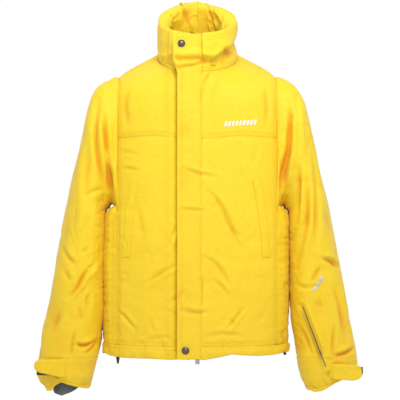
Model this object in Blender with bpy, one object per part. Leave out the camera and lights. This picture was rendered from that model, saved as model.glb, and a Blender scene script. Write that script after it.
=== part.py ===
"""Padded ski jacket with a stand collar, a storm flap over a full front zip, and tabbed cuffs.

Frame: metres, +Z up, the front faces -Y and +X is the wearer's left. The origin is the middle of
the neck, level with the shoulder seams, where the wearer's neck and shoulders carry the jacket.
"""

import math

import bmesh
import bpy
from mathutils import Matrix, Vector

# Heights along +Z
HEM_Z = -0.658
HEM_BAND_TOP_Z = -0.632
YOKE_SEAM_Z = -0.170
CHEST_Z = -0.120
SIDE_TOP_Z = -0.334
COLLAR_MID_Z = 0.092
COLLAR_TILT = 0.046
NECK_MID_Z = 0.004
NECK_TILT = 0.041

# The body's cross-section is a superellipse, deeper towards the hem in front
BODY_HALF_WIDTH = 0.2035
BODY_POWER = 2.5
FRONT_DEPTH = 0.106
FRONT_LEAN = 0.0426
BACK_DEPTH = 0.108
NECK_HALF_WIDTH = 0.090
NECK_BACK_DEPTH = 0.070
COLLAR_HALF_WIDTH = 0.0885
COLLAR_BACK_DEPTH = 0.082

# Seams and gaps
ARMHOLE_X = 0.1755
SIDE_PANEL_X = 0.1768
SEAM_GAP = 0.0008
ZIP_EDGE_X = 0.0135

# Cloth build-up, outside to inside
SHELL = 0.0040
LINING_INSET = 0.0048
LINING = 0.0030
SLEEVE_WALL = 0.0045

# Storm flap, zip and snaps
FLAP_FREE_X = -0.0440
FLAP_HINGE_X = 0.0080
FLAP_STAND_OFF = 0.0062
FLAP_THICK = 0.0034
FLAP_TOP_Z = 0.043
ZIP_TOP_Z = 0.036
SNAP_RADIUS = 0.0082
COLLAR_SNAP = (-0.0345, 0.024)
HEM_SNAP = (-0.0255, -0.638)

# Sleeve stations on the wearer's left: outer point, inner point (x, z), half depth, y of the middle
SLEEVE = (
    ((0.1772, -0.0340), (0.1772, -0.3180), 0.073, 0.000),
    ((0.2000, -0.0455), (0.1840, -0.3185), 0.076, 0.000),
    ((0.2250, -0.0680), (0.1920, -0.3195), 0.079, 0.000),
    ((0.2430, -0.1050), (0.1990, -0.3215), 0.081, 0.000),
    ((0.2560, -0.1650), (0.2050, -0.3270), 0.082, 0.000),
    ((0.2710, -0.2350), (0.2095, -0.3420), 0.082, -0.002),
    ((0.2870, -0.3060), (0.2095, -0.3750), 0.081, -0.004),
    ((0.3050, -0.3950), (0.2095, -0.4300), 0.078, -0.007),
    ((0.3180, -0.4620), (0.2095, -0.4800), 0.074, -0.010),
)
FOREARM = (
    ((0.3183, -0.4630), (0.2095, -0.4810), 0.074, -0.010),
    ((0.3330, -0.5450), (0.2120, -0.5550), 0.068, -0.014),
    ((0.3450, -0.6120), (0.2160, -0.6150), 0.062, -0.018),
    ((0.3540, -0.6680), (0.2230, -0.6680), 0.057, -0.022),
    ((0.3560, -0.6990), (0.2300, -0.6990), 0.053, -0.024),
)
CUFF = (
    ((0.3560, -0.7000), (0.2300, -0.7000), 0.053, -0.024),
    ((0.3535, -0.7190), (0.2350, -0.7190), 0.050, -0.024),
    ((0.3490, -0.7380), (0.2410, -0.7380), 0.046, -0.024),
)
GAITER = (
    ((0.3400, -0.6950), (0.2460, -0.6950), 0.039, -0.024),
    ((0.3340, -0.7200), (0.2520, -0.7200), 0.036, -0.024),
    ((0.3300, -0.7480), (0.2560, -0.7480), 0.033, -0.024),
)
SLEEVE_POWER = 2.2

YELLOW = (0.95, 0.62, 0.03)
DARK_YELLOW = (0.88, 0.52, 0.03)


def clear_scene():
    for obj in list(bpy.data.objects):
        bpy.data.objects.remove(obj, do_unlink=True)


def material(name, color, roughness, metallic=0.0):
    made = bpy.data.materials.new(name)
    made.use_nodes = True
    shader = made.node_tree.nodes["Principled BSDF"]
    shader.inputs["Base Color"].default_value = (*color, 1.0)
    shader.inputs["Roughness"].default_value = roughness
    shader.inputs["Metallic"].default_value = metallic
    return made


def object_from(name, bm, look, smooth=True):
    bmesh.ops.recalc_face_normals(bm, faces=bm.faces)
    mesh = bpy.data.meshes.new(name)
    bm.to_mesh(mesh)
    bm.free()
    mesh.materials.append(look)
    if smooth:
        mesh.shade_smooth()
        mesh.set_sharp_from_angle(angle=math.radians(40))
    obj = bpy.data.objects.new(name, mesh)
    bpy.context.scene.collection.objects.link(obj)
    return obj


def shell(name, outer, inner, look, wrap=False):
    """A closed wall between two grids of points, with its rims. wrap joins each row into a ring."""
    bm = bmesh.new()
    faces = [[[bm.verts.new(p) for p in row] for row in grid] for grid in (outer, inner)]
    rows, columns = len(outer), len(outer[0])
    spans = columns if wrap else columns - 1
    for grid in faces:
        for i in range(rows - 1):
            for j in range(spans):
                k = (j + 1) % columns
                bm.faces.new((grid[i][j], grid[i][k], grid[i + 1][k], grid[i + 1][j]))
    out, inn = faces
    for i in (0, rows - 1):
        for j in range(spans):
            k = (j + 1) % columns
            bm.faces.new((out[i][j], out[i][k], inn[i][k], inn[i][j]))
    if not wrap:
        for i in range(rows - 1):
            for j in (0, columns - 1):
                bm.faces.new((out[i][j], out[i + 1][j], inn[i + 1][j], inn[i][j]))
    return object_from(name, bm, look)


def box(name, size, centre, look, bevel=0.0):
    bm = bmesh.new()
    bmesh.ops.create_cube(bm, size=1.0, matrix=Matrix.Diagonal((*size, 1.0)))
    if bevel:
        bmesh.ops.bevel(bm, geom=bm.edges[:], offset=bevel, segments=2, affect="EDGES", profile=0.5)
    obj = object_from(name, bm, look)
    obj.location = centre
    return obj


def spread(low, high, count):
    return [low + (high - low) * i / (count - 1) for i in range(count)]


def bezier(a, b, c, d, t):
    s = 1.0 - t
    return a * s**3 + b * 3 * s * s * t + c * 3 * s * t * t + d * t**3


# --- The body's surface -----------------------------------------------------------------------


def front_y(z):
    """The straight line of the front opening, which leans back towards the collar."""
    return -(FRONT_DEPTH - FRONT_LEAN * z)


def body_section(angle, z):
    """A point at one height. angle is 0 at the front, a quarter turn at the wearer's left."""
    u = math.sin(angle)
    depth = (1.0 - abs(u) ** BODY_POWER) ** (1.0 / BODY_POWER)
    y = front_y(z) * depth if math.cos(angle) > 0 else BACK_DEPTH * depth
    return Vector((BODY_HALF_WIDTH * u, y, z))


def neck_ring(angle, half_width, back_depth, mid_z, tilt):
    z = mid_z - tilt * math.cos(angle)
    u, v = math.sin(angle), math.cos(angle)
    y = front_y(z) * v if v > 0 else -back_depth * v
    return Vector((half_width * u, y, z))


def body_point(angle, level):
    """level runs 0 to 1 from hem to chest, then 1 to 2 over the shoulder to the neck seam."""
    if level <= 1.0:
        return body_section(angle, HEM_Z + (CHEST_Z - HEM_Z) * level)
    start = body_section(angle, CHEST_Z)
    end = neck_ring(angle, NECK_HALF_WIDTH, NECK_BACK_DEPTH, NECK_MID_Z, NECK_TILT)
    side = abs(math.sin(angle)) ** 1.5
    rise = (1.0 - side) * (end.z - start.z) / 3 + side * 0.088
    lean = Vector((0.0, FRONT_LEAN if math.cos(angle) > 0 else -0.02, 1.0))
    up = Vector((0.0, lean.y, 1.0))
    inward = Vector((-math.sin(angle), 0.25 * math.cos(angle), 0.42)).normalized()
    arrive = up.lerp(inward, side)
    reach = (1.0 - side) * (end.z - start.z) / 3 + side * 0.070
    return bezier(start, start + lean * rise, end - arrive * reach, end, level - 1.0)


def collar_point(angle, level):
    """level runs 0 to 1 from the neck seam to the collar's rim, drawn in a little low down."""
    low = neck_ring(angle, NECK_HALF_WIDTH, NECK_BACK_DEPTH, NECK_MID_Z, NECK_TILT)
    high = neck_ring(angle, COLLAR_HALF_WIDTH, COLLAR_BACK_DEPTH, COLLAR_MID_Z, COLLAR_TILT)
    point = low.lerp(high, level)
    draw = 0.06 * math.sin(math.pi * level) * (1.0 - 0.9 * level)
    side = abs(math.sin(angle)) ** 1.5
    return Vector((point.x * (1.0 - draw * side), point.y, point.z))


def inset_point(surface, angle, level, depth):
    """The point a given depth below a surface, along its own normal."""
    step = 1e-3
    across = surface(angle + step, level) - surface(angle - step, level)
    up = surface(angle, level + step) - surface(angle, level - step)
    return surface(angle, level) - across.cross(up).normalized() * depth


def angle_at_x(surface, x, level, back=False):
    """The angle, between the middle and the side, where the surface reaches x on the left."""
    low, high = 0.0, math.pi / 2
    if surface(high, level).x <= x:
        return math.pi / 2
    for _ in range(40):
        mid = (low + high) / 2
        low, high = (mid, high) if surface(mid, level).x < x else (low, mid)
    found = (low + high) / 2
    return math.pi - found if back else found


def wall(name, surface, levels, ends, columns, look, inset=0.0, thick=SHELL, side=1):
    """A piece of cloth on a surface. ends(level) gives its first and last angle on the left."""
    grids = []
    for depth in (inset, inset + thick):
        grid = []
        for level in levels:
            first, last = ends(level)
            row = [inset_point(surface, a, level, depth) for a in spread(first, last, columns)]
            grid.append([Vector((side * p.x, p.y, p.z)) for p in row])
        grids.append(grid)
    return shell(name, grids[0], grids[1], look)


# --- Panels -----------------------------------------------------------------------------------


def chest_level(z):
    return (z - HEM_Z) / (CHEST_Z - HEM_Z)


def front_ends(level):
    edge = angle_at_x(body_point, ARMHOLE_X, level)
    return angle_at_x(body_point, ZIP_EDGE_X, level), min(edge, math.pi / 2 - 0.006)


def back_ends(level):
    edge = angle_at_x(body_point, ARMHOLE_X, level, back=True)
    edge = max(edge, math.pi / 2 + 0.006)
    return edge, 2 * math.pi - edge


def side_ends(level):
    edge = angle_at_x(body_point, SIDE_PANEL_X, level)
    return edge, math.pi - edge


def shoulder_tip_level():
    """Where the shoulder line crosses the armhole seam."""
    low, high = 1.0, 2.0
    for _ in range(40):
        mid = (low + high) / 2
        low, high = (mid, high) if body_point(math.pi / 2, mid).x > ARMHOLE_X else (low, mid)
    return high


def make_body(cloth, lining):
    hem = chest_level(HEM_BAND_TOP_Z + SEAM_GAP)
    yoke = chest_level(YOKE_SEAM_Z)
    gap = SEAM_GAP / (CHEST_Z - HEM_Z)
    lower = spread(hem, yoke - gap, 7)
    tip = shoulder_tip_level()
    upper = [yoke, 1.0, 1.14] + [tip - drop for drop in (0.12, 0.05, 0.015)] + spread(tip, 1.99, 5)
    whole = lower + upper[1:]
    sides = spread(hem, chest_level(SIDE_TOP_Z), 4)
    for side, hand in ((1, "left"), (-1, "right")):
        wall(f"front_panel_{hand}", body_point, lower, front_ends, 7, cloth, side=side)
        wall(f"front_yoke_{hand}", body_point, upper, front_ends, 7, cloth, side=side)
        wall(f"side_panel_{hand}", body_point, sides, side_ends, 9, cloth, side=side)
        wall(f"front_lining_{hand}", body_point, whole, front_ends, 7, lining,
             LINING_INSET, LINING, side)
    wall("back_panel", body_point, lower, back_ends, 13, cloth)
    wall("back_yoke", body_point, upper, back_ends, 13, cloth)
    wall("back_lining", body_point, whole, back_ends, 13, lining, LINING_INSET, LINING)


def around_ends(surface):
    def ends(level):
        first = angle_at_x(surface, ZIP_EDGE_X, level)
        return first, 2 * math.pi - first
    return ends


def make_collar(cloth, lining):
    ends = around_ends(collar_point)
    wall("collar_shell", collar_point, spread(0.02, 1.0, 5), ends, 29, cloth, thick=0.0045)
    wall("collar_lining", collar_point, spread(0.02, 0.99, 5), ends, 29, lining, 0.0055, 0.0035)


def make_hem(cloth, lining, elastic):
    """A folded band with a tunnel: band outside, facing inside, and the cord between them."""
    ends = around_ends(body_point)
    levels = spread(0.0, chest_level(HEM_BAND_TOP_Z), 2)
    wall("hem_band", body_point, levels, ends, 37, cloth, thick=0.0022)
    wall("hem_facing", body_point, levels, ends, 37, lining, 0.0066, 0.0018)
    level = chest_level(HEM_Z + 0.010)
    first, last = ends(level)
    points = [inset_point(body_point, a, level, 0.0044) for a in spread(first, last, 72)]
    tube("hem_drawcord", points, 0.0013, elastic)


def tube(name, points, radius, look):
    curve = bpy.data.curves.new(name, "CURVE")
    curve.dimensions = "3D"
    curve.bevel_depth = radius
    curve.bevel_resolution = 2
    curve.use_fill_caps = True
    spline = curve.splines.new("POLY")
    spline.points.add(len(points) - 1)
    for vertex, point in zip(spline.points, points):
        vertex.co = (*point, 1.0)
    curve.materials.append(look)
    obj = bpy.data.objects.new(name, curve)
    bpy.context.scene.collection.objects.link(obj)
    return obj


# --- Front opening ----------------------------------------------------------------------------

LEAN_ANGLE = math.atan(FRONT_LEAN)


def front_frame(name):
    """An empty on the front line, whose Z runs up the opening and whose -Y points out of it."""
    empty = bpy.data.objects.new(name, None)
    bpy.context.scene.collection.objects.link(empty)
    empty.location = (0.0, front_y(0.0), 0.0)
    empty.rotation_euler = (-LEAN_ANGLE, 0.0, 0.0)
    return empty


def strip(name, parent, x_span, y_span, z_span, look, bevel=0.0):
    size = [high - low for low, high in (x_span, y_span, z_span)]
    middle = [(high + low) / 2 for low, high in (x_span, y_span, z_span)]
    obj = box(name, size, middle, look, bevel)
    obj.parent = parent
    return obj


def make_zip(line, tape, teeth, metal):
    for side, hand in ((1, "left"), (-1, "right")):
        span = sorted((side * 0.0040, side * (ZIP_EDGE_X - 0.0006)))
        strip(f"zip_tape_{hand}", line, span, (0.0012, 0.0022), (HEM_Z + 0.002, 0.040), tape)
        span = sorted((side * 0.0008, side * 0.0036))
        strip(f"zip_teeth_{hand}", line, span, (-0.0002, 0.0030), (HEM_Z + 0.012, ZIP_TOP_Z), teeth)
    strip("zip_box", line, (-0.0050, 0.0050), (-0.0008, 0.0008), (HEM_Z - 0.010, HEM_Z + 0.001),
          metal, 0.0004)


def make_slider(name, metal):
    """Two plates and the wedge between them; the wedge runs in the slit between the tooth rows."""
    bm = bmesh.new()
    for y_span in ((-0.0026, -0.0008), (0.0042, 0.0056)):
        plate(bm, (-0.0050, 0.0050), y_span, (-0.0090, 0.0060))
    plate(bm, (-0.0004, 0.0004), (-0.0020, 0.0050), (-0.0080, 0.0050))
    slider = object_from(name, bm, metal, smooth=False)
    union_self(slider)
    return slider


def plate(bm, x_span, y_span, z_span):
    size = [high - low for low, high in (x_span, y_span, z_span)]
    middle = Vector([(high + low) / 2 for low, high in (x_span, y_span, z_span)])
    bmesh.ops.create_cube(bm, size=1.0, matrix=Matrix.Translation(middle) @ Matrix.Diagonal((*size, 1.0)))


def union_self(obj):
    """Joins the overlapping blocks of one mesh into one body."""
    mod = obj.modifiers.new("Union", "BOOLEAN")
    mod.operation = "UNION"
    mod.solver = "EXACT"
    mod.use_self = True
    bm = bmesh.new()
    mesh = bpy.data.meshes.new(f"{obj.name}_empty")
    bm.to_mesh(mesh)
    bm.free()
    helper = bpy.data.objects.new(f"{obj.name}_union_helper", mesh)
    bpy.context.scene.collection.objects.link(helper)
    helper.hide_render = True
    helper.display_type = "WIRE"
    mod.object = helper


def make_flap(line, cloth, hook, loop):
    outer_y = -(FLAP_STAND_OFF + FLAP_THICK)
    strip("storm_flap", line, (FLAP_FREE_X, FLAP_HINGE_X), (outer_y, -FLAP_STAND_OFF),
          (HEM_Z + 0.001, FLAP_TOP_Z), cloth, 0.0012)
    strip("flap_hook_strip", line, (-0.036, -0.020), (-FLAP_STAND_OFF + 0.0003, -0.0043),
          (-0.560, -0.090), hook)
    strip("front_loop_strip", line, (-0.036, -0.020), (-0.0040, -0.0006), (-0.560, -0.090), loop)


def dome(name, radius, height, look, parent, location):
    """A snap cap: a round button with a turned, domed face towards -Y."""
    bm = bmesh.new()
    profile = [Vector((radius * math.cos(a), -height * math.sin(a) - 0.0008, 0.0))
               for a in spread(0.0, math.pi / 2 * 0.94, 5)]
    outline = [Vector((0.0, 0.0, 0.0)), Vector((radius, 0.0, 0.0))] + profile
    outline.append(Vector((0.0, -height - 0.0008, 0.0)))
    verts = [bm.verts.new(p) for p in outline]
    edges = [bm.edges.new(pair) for pair in zip(verts, verts[1:])]
    bmesh.ops.spin(bm, geom=verts + edges, cent=(0, 0, 0), axis=(0, 1, 0), angle=2 * math.pi,
                   steps=20, use_merge=True)
    bmesh.ops.remove_doubles(bm, verts=bm.verts, dist=1e-6)
    obj = object_from(name, bm, look)
    obj.parent = parent
    obj.location = location
    return obj


def make_snaps(line, gunmetal):
    outside = -(FLAP_STAND_OFF + FLAP_THICK) - 0.0003
    for name, (x, z) in (("collar_snap", COLLAR_SNAP), ("hem_snap", HEM_SNAP)):
        dome(f"{name}_cap", SNAP_RADIUS, 0.0030, gunmetal, line, (x, outside, z))
        dome(f"{name}_stud", 0.0055, 0.0020, gunmetal, line, (x, -0.0012, z))


# --- Sleeves ----------------------------------------------------------------------------------


def station_ring(station, inset, side, columns):
    (ox, oz), (ix, iz), depth, mid_y = station
    outer, inner = Vector((ox, 0.0, oz)), Vector((ix, 0.0, iz))
    half = (outer - inner) / 2
    middle = (outer + inner) / 2
    along = half.normalized() * (half.length - inset)
    points = []
    for j in range(columns):
        a = 2 * math.pi * j / columns
        c, s = math.cos(a), math.sin(a)
        c = math.copysign(abs(c) ** (2 / SLEEVE_POWER), c)
        s = math.copysign(abs(s) ** (2 / SLEEVE_POWER), s)
        p = middle + along * c
        points.append(Vector((side * p.x, mid_y + (depth - inset) * s, p.z)))
    return points


def sleeve_tube(name, stations, side, look, inset=0.0, thick=SLEEVE_WALL, columns=20):
    outer = [station_ring(s, inset, side, columns) for s in stations]
    inner = [station_ring(s, inset + thick, side, columns) for s in stations]
    return shell(name, outer, inner, look, wrap=True)


def make_cuff_tab(hand, side, cloth, hook):
    """The tab is sewn at the front of the cuff and points outwards, with hook tape behind it."""
    root_x, tip_x, z_mid, front = 0.298, 0.366, -0.683, -0.0835
    outline = [(0.0, 0.0145), (0.0, -0.0145)]
    length = tip_x - root_x
    for a in spread(-math.pi / 2, math.pi / 2, 7):
        outline.append((length - 0.0145 + 0.0145 * math.cos(a), 0.0145 * math.sin(a)))
    for name, scale, y_span, look in (
        (f"cuff_tab_{hand}", 1.0, (-0.0030, 0.0), cloth),
        (f"cuff_hook_patch_{hand}", 0.8, (0.0003, 0.0016), hook),
    ):
        bm = bmesh.new()
        x_shift = 0.0 if scale == 1.0 else length * 0.17
        loop = [bm.verts.new((side * (x * scale + x_shift), y_span[0], z * scale)) for x, z in outline]
        face = bm.faces.new(loop)
        extruded = bmesh.ops.extrude_face_region(bm, geom=[face])
        moved = [g for g in extruded["geom"] if isinstance(g, bmesh.types.BMVert)]
        bmesh.ops.translate(bm, verts=moved, vec=(0.0, y_span[1] - y_span[0], 0.0))
        tab = object_from(name, bm, look)
        tab.location = (side * root_x, front, z_mid)


def make_sleeves(cloth, lining, knit, hook, loop):
    for side, hand in ((1, "left"), (-1, "right")):
        sleeve_tube(f"upper_sleeve_{hand}", SLEEVE, side, cloth)
        sleeve_tube(f"sleeve_lining_{hand}", SLEEVE, side, lining, 0.0060, 0.0025)
        sleeve_tube(f"forearm_sleeve_{hand}", FOREARM, side, cloth)
        sleeve_tube(f"cuff_{hand}", CUFF, side, cloth, thick=0.0040)
        sleeve_tube(f"wrist_gaiter_{hand}", GAITER, side, knit, thick=0.0020, columns=16)
        make_cuff_tab(hand, side, cloth, hook)
        strip(f"cuff_loop_patch_{hand}", None, sorted((side * 0.300, side * 0.330)),
              (-0.0800, -0.0788), (-0.692, -0.674), loop)


SLEEVE_ZIP_TOP = Vector((0.2300, -0.0800, -0.547))
SLEEVE_ZIP_BOTTOM = Vector((0.2710, -0.0860, -0.655))


def make_sleeve_pocket(teeth, metal):
    """A slanted zip on the wearer's left forearm, closed with its slider at the lower end."""
    run = SLEEVE_ZIP_TOP - SLEEVE_ZIP_BOTTOM
    line = bpy.data.objects.new("sleeve_zip_line", None)
    bpy.context.scene.collection.objects.link(line)
    line.location = SLEEVE_ZIP_BOTTOM
    line.rotation_mode = "QUATERNION"
    across = Vector((0.0, 1.0, 0.0)).cross(run).normalized()
    turn = Matrix((across, run.normalized().cross(across), run.normalized())).transposed()
    line.rotation_quaternion = turn.to_quaternion()
    strip("sleeve_pocket_zip", line, (-0.0045, 0.0045), (-0.0010, 0.0010), (0.0, run.length), teeth)
    strip("sleeve_pocket_slider", line, (-0.0042, 0.0042), (-0.0042, -0.0014), (0.001, 0.013), metal,
          0.0006)
    strip("sleeve_pocket_pull", line, (-0.0032, 0.0032), (-0.0068, -0.0046), (-0.024, 0.005), metal,
          0.0006)


def make_pockets(welt, bag):
    """Hand pockets: a slanted welt on each front panel, with a flat bag behind the lining."""
    for side, hand in ((1, "left"), (-1, "right")):
        top = chest_level(-0.268)
        bottom = chest_level(-0.440)

        def ends(level):
            share = (level - bottom) / (top - bottom)
            middle = angle_at_x(body_point, 0.134 + 0.017 * share, level)
            return middle - 0.045, middle + 0.045

        wall(f"pocket_welt_{hand}", body_point, spread(bottom, top, 6), ends, 3, welt,
             -0.0035, 0.0030, side)

        def bag_ends(level):
            return angle_at_x(body_point, 0.045, level), angle_at_x(body_point, 0.150, level)

        wall(f"pocket_bag_{hand}", body_point, spread(chest_level(-0.520), top, 5), bag_ends, 6, bag,
             0.0085, 0.0030, side)


def make_cord_locks(plastic):
    """A hollow barrel hangs from the drawcord inside each side of the hem, with a sprung plunger."""
    for side, hand, z in ((1, "left", HEM_Z + 0.012), (-1, "right", HEM_Z - 0.010)):
        middle = Vector((side * 0.176, -0.050, z))
        barrel = box(f"cord_lock_{hand}", (0.011, 0.008, 0.018), middle, plastic, 0.0012)
        well = box(f"cord_lock_{hand}_well", (0.0070, 0.0046, 0.014), middle + Vector((0, 0, 0.006)),
                   plastic)
        well.hide_render = True
        well.display_type = "WIRE"
        cut = barrel.modifiers.new("Well", "BOOLEAN")
        cut.operation = "DIFFERENCE"
        cut.solver = "EXACT"
        cut.object = well
        bm = bmesh.new()
        plate(bm, (-0.0031, 0.0031), (-0.0019, 0.0019), (0.0040, 0.0150))
        plate(bm, (-0.0045, 0.0045), (-0.0032, 0.0032), (0.0138, 0.0170))
        plunger = object_from(f"cord_lock_plunger_{hand}", bm, plastic, smooth=False)
        union_self(plunger)
        plunger.location = middle


def make_hanger_loop(tape):
    """A folded tape bridge on the inside of the back neck, sewn down at both ends."""
    back, width, top = 0.0597, 0.060, 0.030
    bm = bmesh.new()
    plate(bm, (-width / 2, width / 2), (back - 0.0140, back - 0.0060), (top - 0.0020, top))
    for end in (-1, 1):
        x = end * width / 2
        plate(bm, sorted((x, x - end * 0.004)), (back - 0.0130, back), (top - 0.0160, top - 0.0005))
    loop = object_from("hanger_loop", bm, tape, smooth=False)
    union_self(loop)


def main():
    clear_scene()
    cloth = material("yellow_shell_cloth", YELLOW, 0.62)
    lining = material("yellow_lining", DARK_YELLOW, 0.55)
    knit = material("grey_wrist_knit", (0.13, 0.13, 0.14), 0.85)
    tape = material("zip_tape", (0.75, 0.45, 0.03), 0.8)
    teeth = material("dark_coil", (0.03, 0.03, 0.03), 0.5)
    metal = material("grey_metal", (0.30, 0.30, 0.31), 0.35, 0.9)
    gunmetal = material("gunmetal", (0.13, 0.09, 0.07), 0.30, 0.85)
    plastic = material("black_plastic", (0.02, 0.02, 0.02), 0.45)
    hook = material("hook_tape", (0.05, 0.045, 0.04), 0.9)
    loop = material("loop_tape", (0.80, 0.55, 0.05), 0.95)
    make_body(cloth, lining)
    make_collar(cloth, lining)
    make_hem(cloth, lining, plastic)
    line = front_frame("front_line")
    make_zip(line, tape, teeth, metal)
    slider = make_slider("zip_slider", metal)
    slider.parent = line
    slider.location = (0.0, 0.0, ZIP_TOP_Z + 0.0035)
    strip("zip_pull", line, (-0.0035, 0.0035), (-0.0046, -0.0029), (0.008, ZIP_TOP_Z), metal, 0.0006)
    make_flap(line, cloth, hook, loop)
    make_snaps(line, gunmetal)
    make_sleeves(cloth, lining, knit, hook, loop)
    make_sleeve_pocket(teeth, metal)
    make_pockets(cloth, lining)
    make_cord_locks(plastic)
    make_hanger_loop(tape)


main()
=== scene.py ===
"""The looks of the padded ski jacket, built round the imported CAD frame.

Frame: metres, +Z up, the front faces -Y and +X is the wearer's left. Every piece of cloth is a fine
grid on the same surfaces as the CAD panels, with folds, gathers and seams worked into it.
"""

import itertools
import math

import bmesh
import bpy
import numpy as np
from mathutils import Matrix, Vector


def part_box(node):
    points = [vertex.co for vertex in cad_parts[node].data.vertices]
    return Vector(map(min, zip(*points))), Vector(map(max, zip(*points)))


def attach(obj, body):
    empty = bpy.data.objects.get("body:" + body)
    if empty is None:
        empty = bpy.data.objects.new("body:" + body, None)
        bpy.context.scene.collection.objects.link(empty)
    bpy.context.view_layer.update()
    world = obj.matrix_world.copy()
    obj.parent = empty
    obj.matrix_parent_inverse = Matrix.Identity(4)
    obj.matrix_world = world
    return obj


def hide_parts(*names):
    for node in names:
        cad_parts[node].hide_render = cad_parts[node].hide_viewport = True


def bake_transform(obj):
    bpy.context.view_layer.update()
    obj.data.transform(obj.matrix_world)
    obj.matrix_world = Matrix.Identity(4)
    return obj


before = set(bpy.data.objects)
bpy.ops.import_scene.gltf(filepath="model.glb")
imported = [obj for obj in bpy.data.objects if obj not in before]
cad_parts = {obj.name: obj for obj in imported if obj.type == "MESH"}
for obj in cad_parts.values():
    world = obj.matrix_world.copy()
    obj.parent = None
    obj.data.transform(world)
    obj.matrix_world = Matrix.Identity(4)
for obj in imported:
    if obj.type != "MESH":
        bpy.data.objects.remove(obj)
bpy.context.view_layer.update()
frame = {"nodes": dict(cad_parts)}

# --- Sizes shared with the CAD ------------------------------------------------------------------

HEM_Z = -0.658
HEM_BAND_TOP_Z = -0.632
CHEST_Z = -0.120
SIDE_TOP_Z = -0.334
COLLAR_MID_Z, COLLAR_TILT = 0.092, 0.046
NECK_MID_Z, NECK_TILT = 0.004, 0.041
BODY_HALF_WIDTH, BODY_POWER = 0.2035, 2.5
FRONT_DEPTH, FRONT_LEAN, BACK_DEPTH = 0.106, 0.0426, 0.108
NECK_HALF_WIDTH, NECK_BACK_DEPTH = 0.090, 0.070
COLLAR_HALF_WIDTH, COLLAR_BACK_DEPTH = 0.0885, 0.082
ARMHOLE_X = 0.1762
ZIP_EDGE_X = 0.0135
FLAP_FREE_X, FLAP_HINGE_X = -0.0440, 0.0080
FLAP_BACK, FLAP_FACE = 0.0064, 0.0096
FLAP_TOP_Z = 0.043
COLLAR_SNAP, HEM_SNAP = (-0.0345, 0.024), (-0.0255, -0.638)
SLEEVE_POWER = 2.2
# Sleeve stations on the wearer's left: outer x and z, inner x and z, half depth, y of the middle
STATIONS = np.array((
    (0.1772, -0.0340, 0.1772, -0.3180, 0.073, 0.000),
    (0.2000, -0.0455, 0.1840, -0.3185, 0.076, 0.000),
    (0.2250, -0.0680, 0.1920, -0.3195, 0.079, 0.000),
    (0.2430, -0.1050, 0.1990, -0.3215, 0.081, 0.000),
    (0.2560, -0.1650, 0.2050, -0.3270, 0.082, 0.000),
    (0.2710, -0.2350, 0.2095, -0.3420, 0.082, -0.002),
    (0.2870, -0.3060, 0.2095, -0.3750, 0.081, -0.004),
    (0.3050, -0.3950, 0.2095, -0.4300, 0.078, -0.007),
    (0.3180, -0.4620, 0.2095, -0.4800, 0.074, -0.010),
    (0.3330, -0.5450, 0.2120, -0.5550, 0.068, -0.014),
    (0.3450, -0.6120, 0.2160, -0.6150, 0.062, -0.018),
    (0.3540, -0.6680, 0.2230, -0.6680, 0.057, -0.022),
    (0.3560, -0.6990, 0.2300, -0.6990, 0.053, -0.024),
    (0.3535, -0.7190, 0.2350, -0.7190, 0.050, -0.024),
    (0.3490, -0.7380, 0.2410, -0.7380, 0.046, -0.024),
))
CUFF_STATION = 12.0
HANDS = ((1, "left"), (-1, "right"))


# --- Small tools --------------------------------------------------------------------------------


def smooth(t):
    t = np.clip(t, 0.0, 1.0)
    return t * t * (3.0 - 2.0 * t)


def bump(d, width):
    return np.exp(-((d / width) ** 2))


def unit(v):
    return v / np.maximum(np.linalg.norm(v, axis=-1, keepdims=True), 1e-12)


TURN = np.array(Matrix.Rotation(0.9, 3, Vector((0.5, 0.3, 0.8))) @ Matrix.Rotation(0.5, 3, "X"))


def noise(points, size, seed):
    """Smooth noise from -1 to 1 whose features are about that size."""
    table = np.random.default_rng(seed).uniform(-1.0, 1.0, (24, 24, 24))
    q = np.asarray(points) @ TURN / size + 100.0
    cell = np.floor(q).astype(int)
    f = q - cell
    f = f * f * (3.0 - 2.0 * f)
    total = np.zeros(q.shape[:-1])
    for corner in itertools.product((0, 1), repeat=3):
        weight = np.ones(q.shape[:-1])
        for axis in range(3):
            weight = weight * (f[..., axis] if corner[axis] else 1.0 - f[..., axis])
        i = (cell + np.array(corner)) % 24
        total += weight * table[i[..., 0], i[..., 1], i[..., 2]]
    return total


def rounded(path, count=14):
    """A smooth curve through a few points, Catmull-Rom."""
    p = np.array(path, float)
    if len(p) == 2:
        return np.linspace(p[0], p[1], count)
    p = np.vstack((2 * p[0] - p[1], p, 2 * p[-1] - p[-2]))
    out = []
    for i in range(1, len(p) - 2):
        for t in np.linspace(0, 1, count, endpoint=i == len(p) - 3):
            out.append(0.5 * (2 * p[i] + (p[i + 1] - p[i - 1]) * t
                              + (2 * p[i - 1] - 5 * p[i] + 4 * p[i + 1] - p[i + 2]) * t * t
                              + (3 * p[i] - p[i - 1] - 3 * p[i + 1] + p[i + 2]) * t**3))
    return np.array(out)


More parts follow.
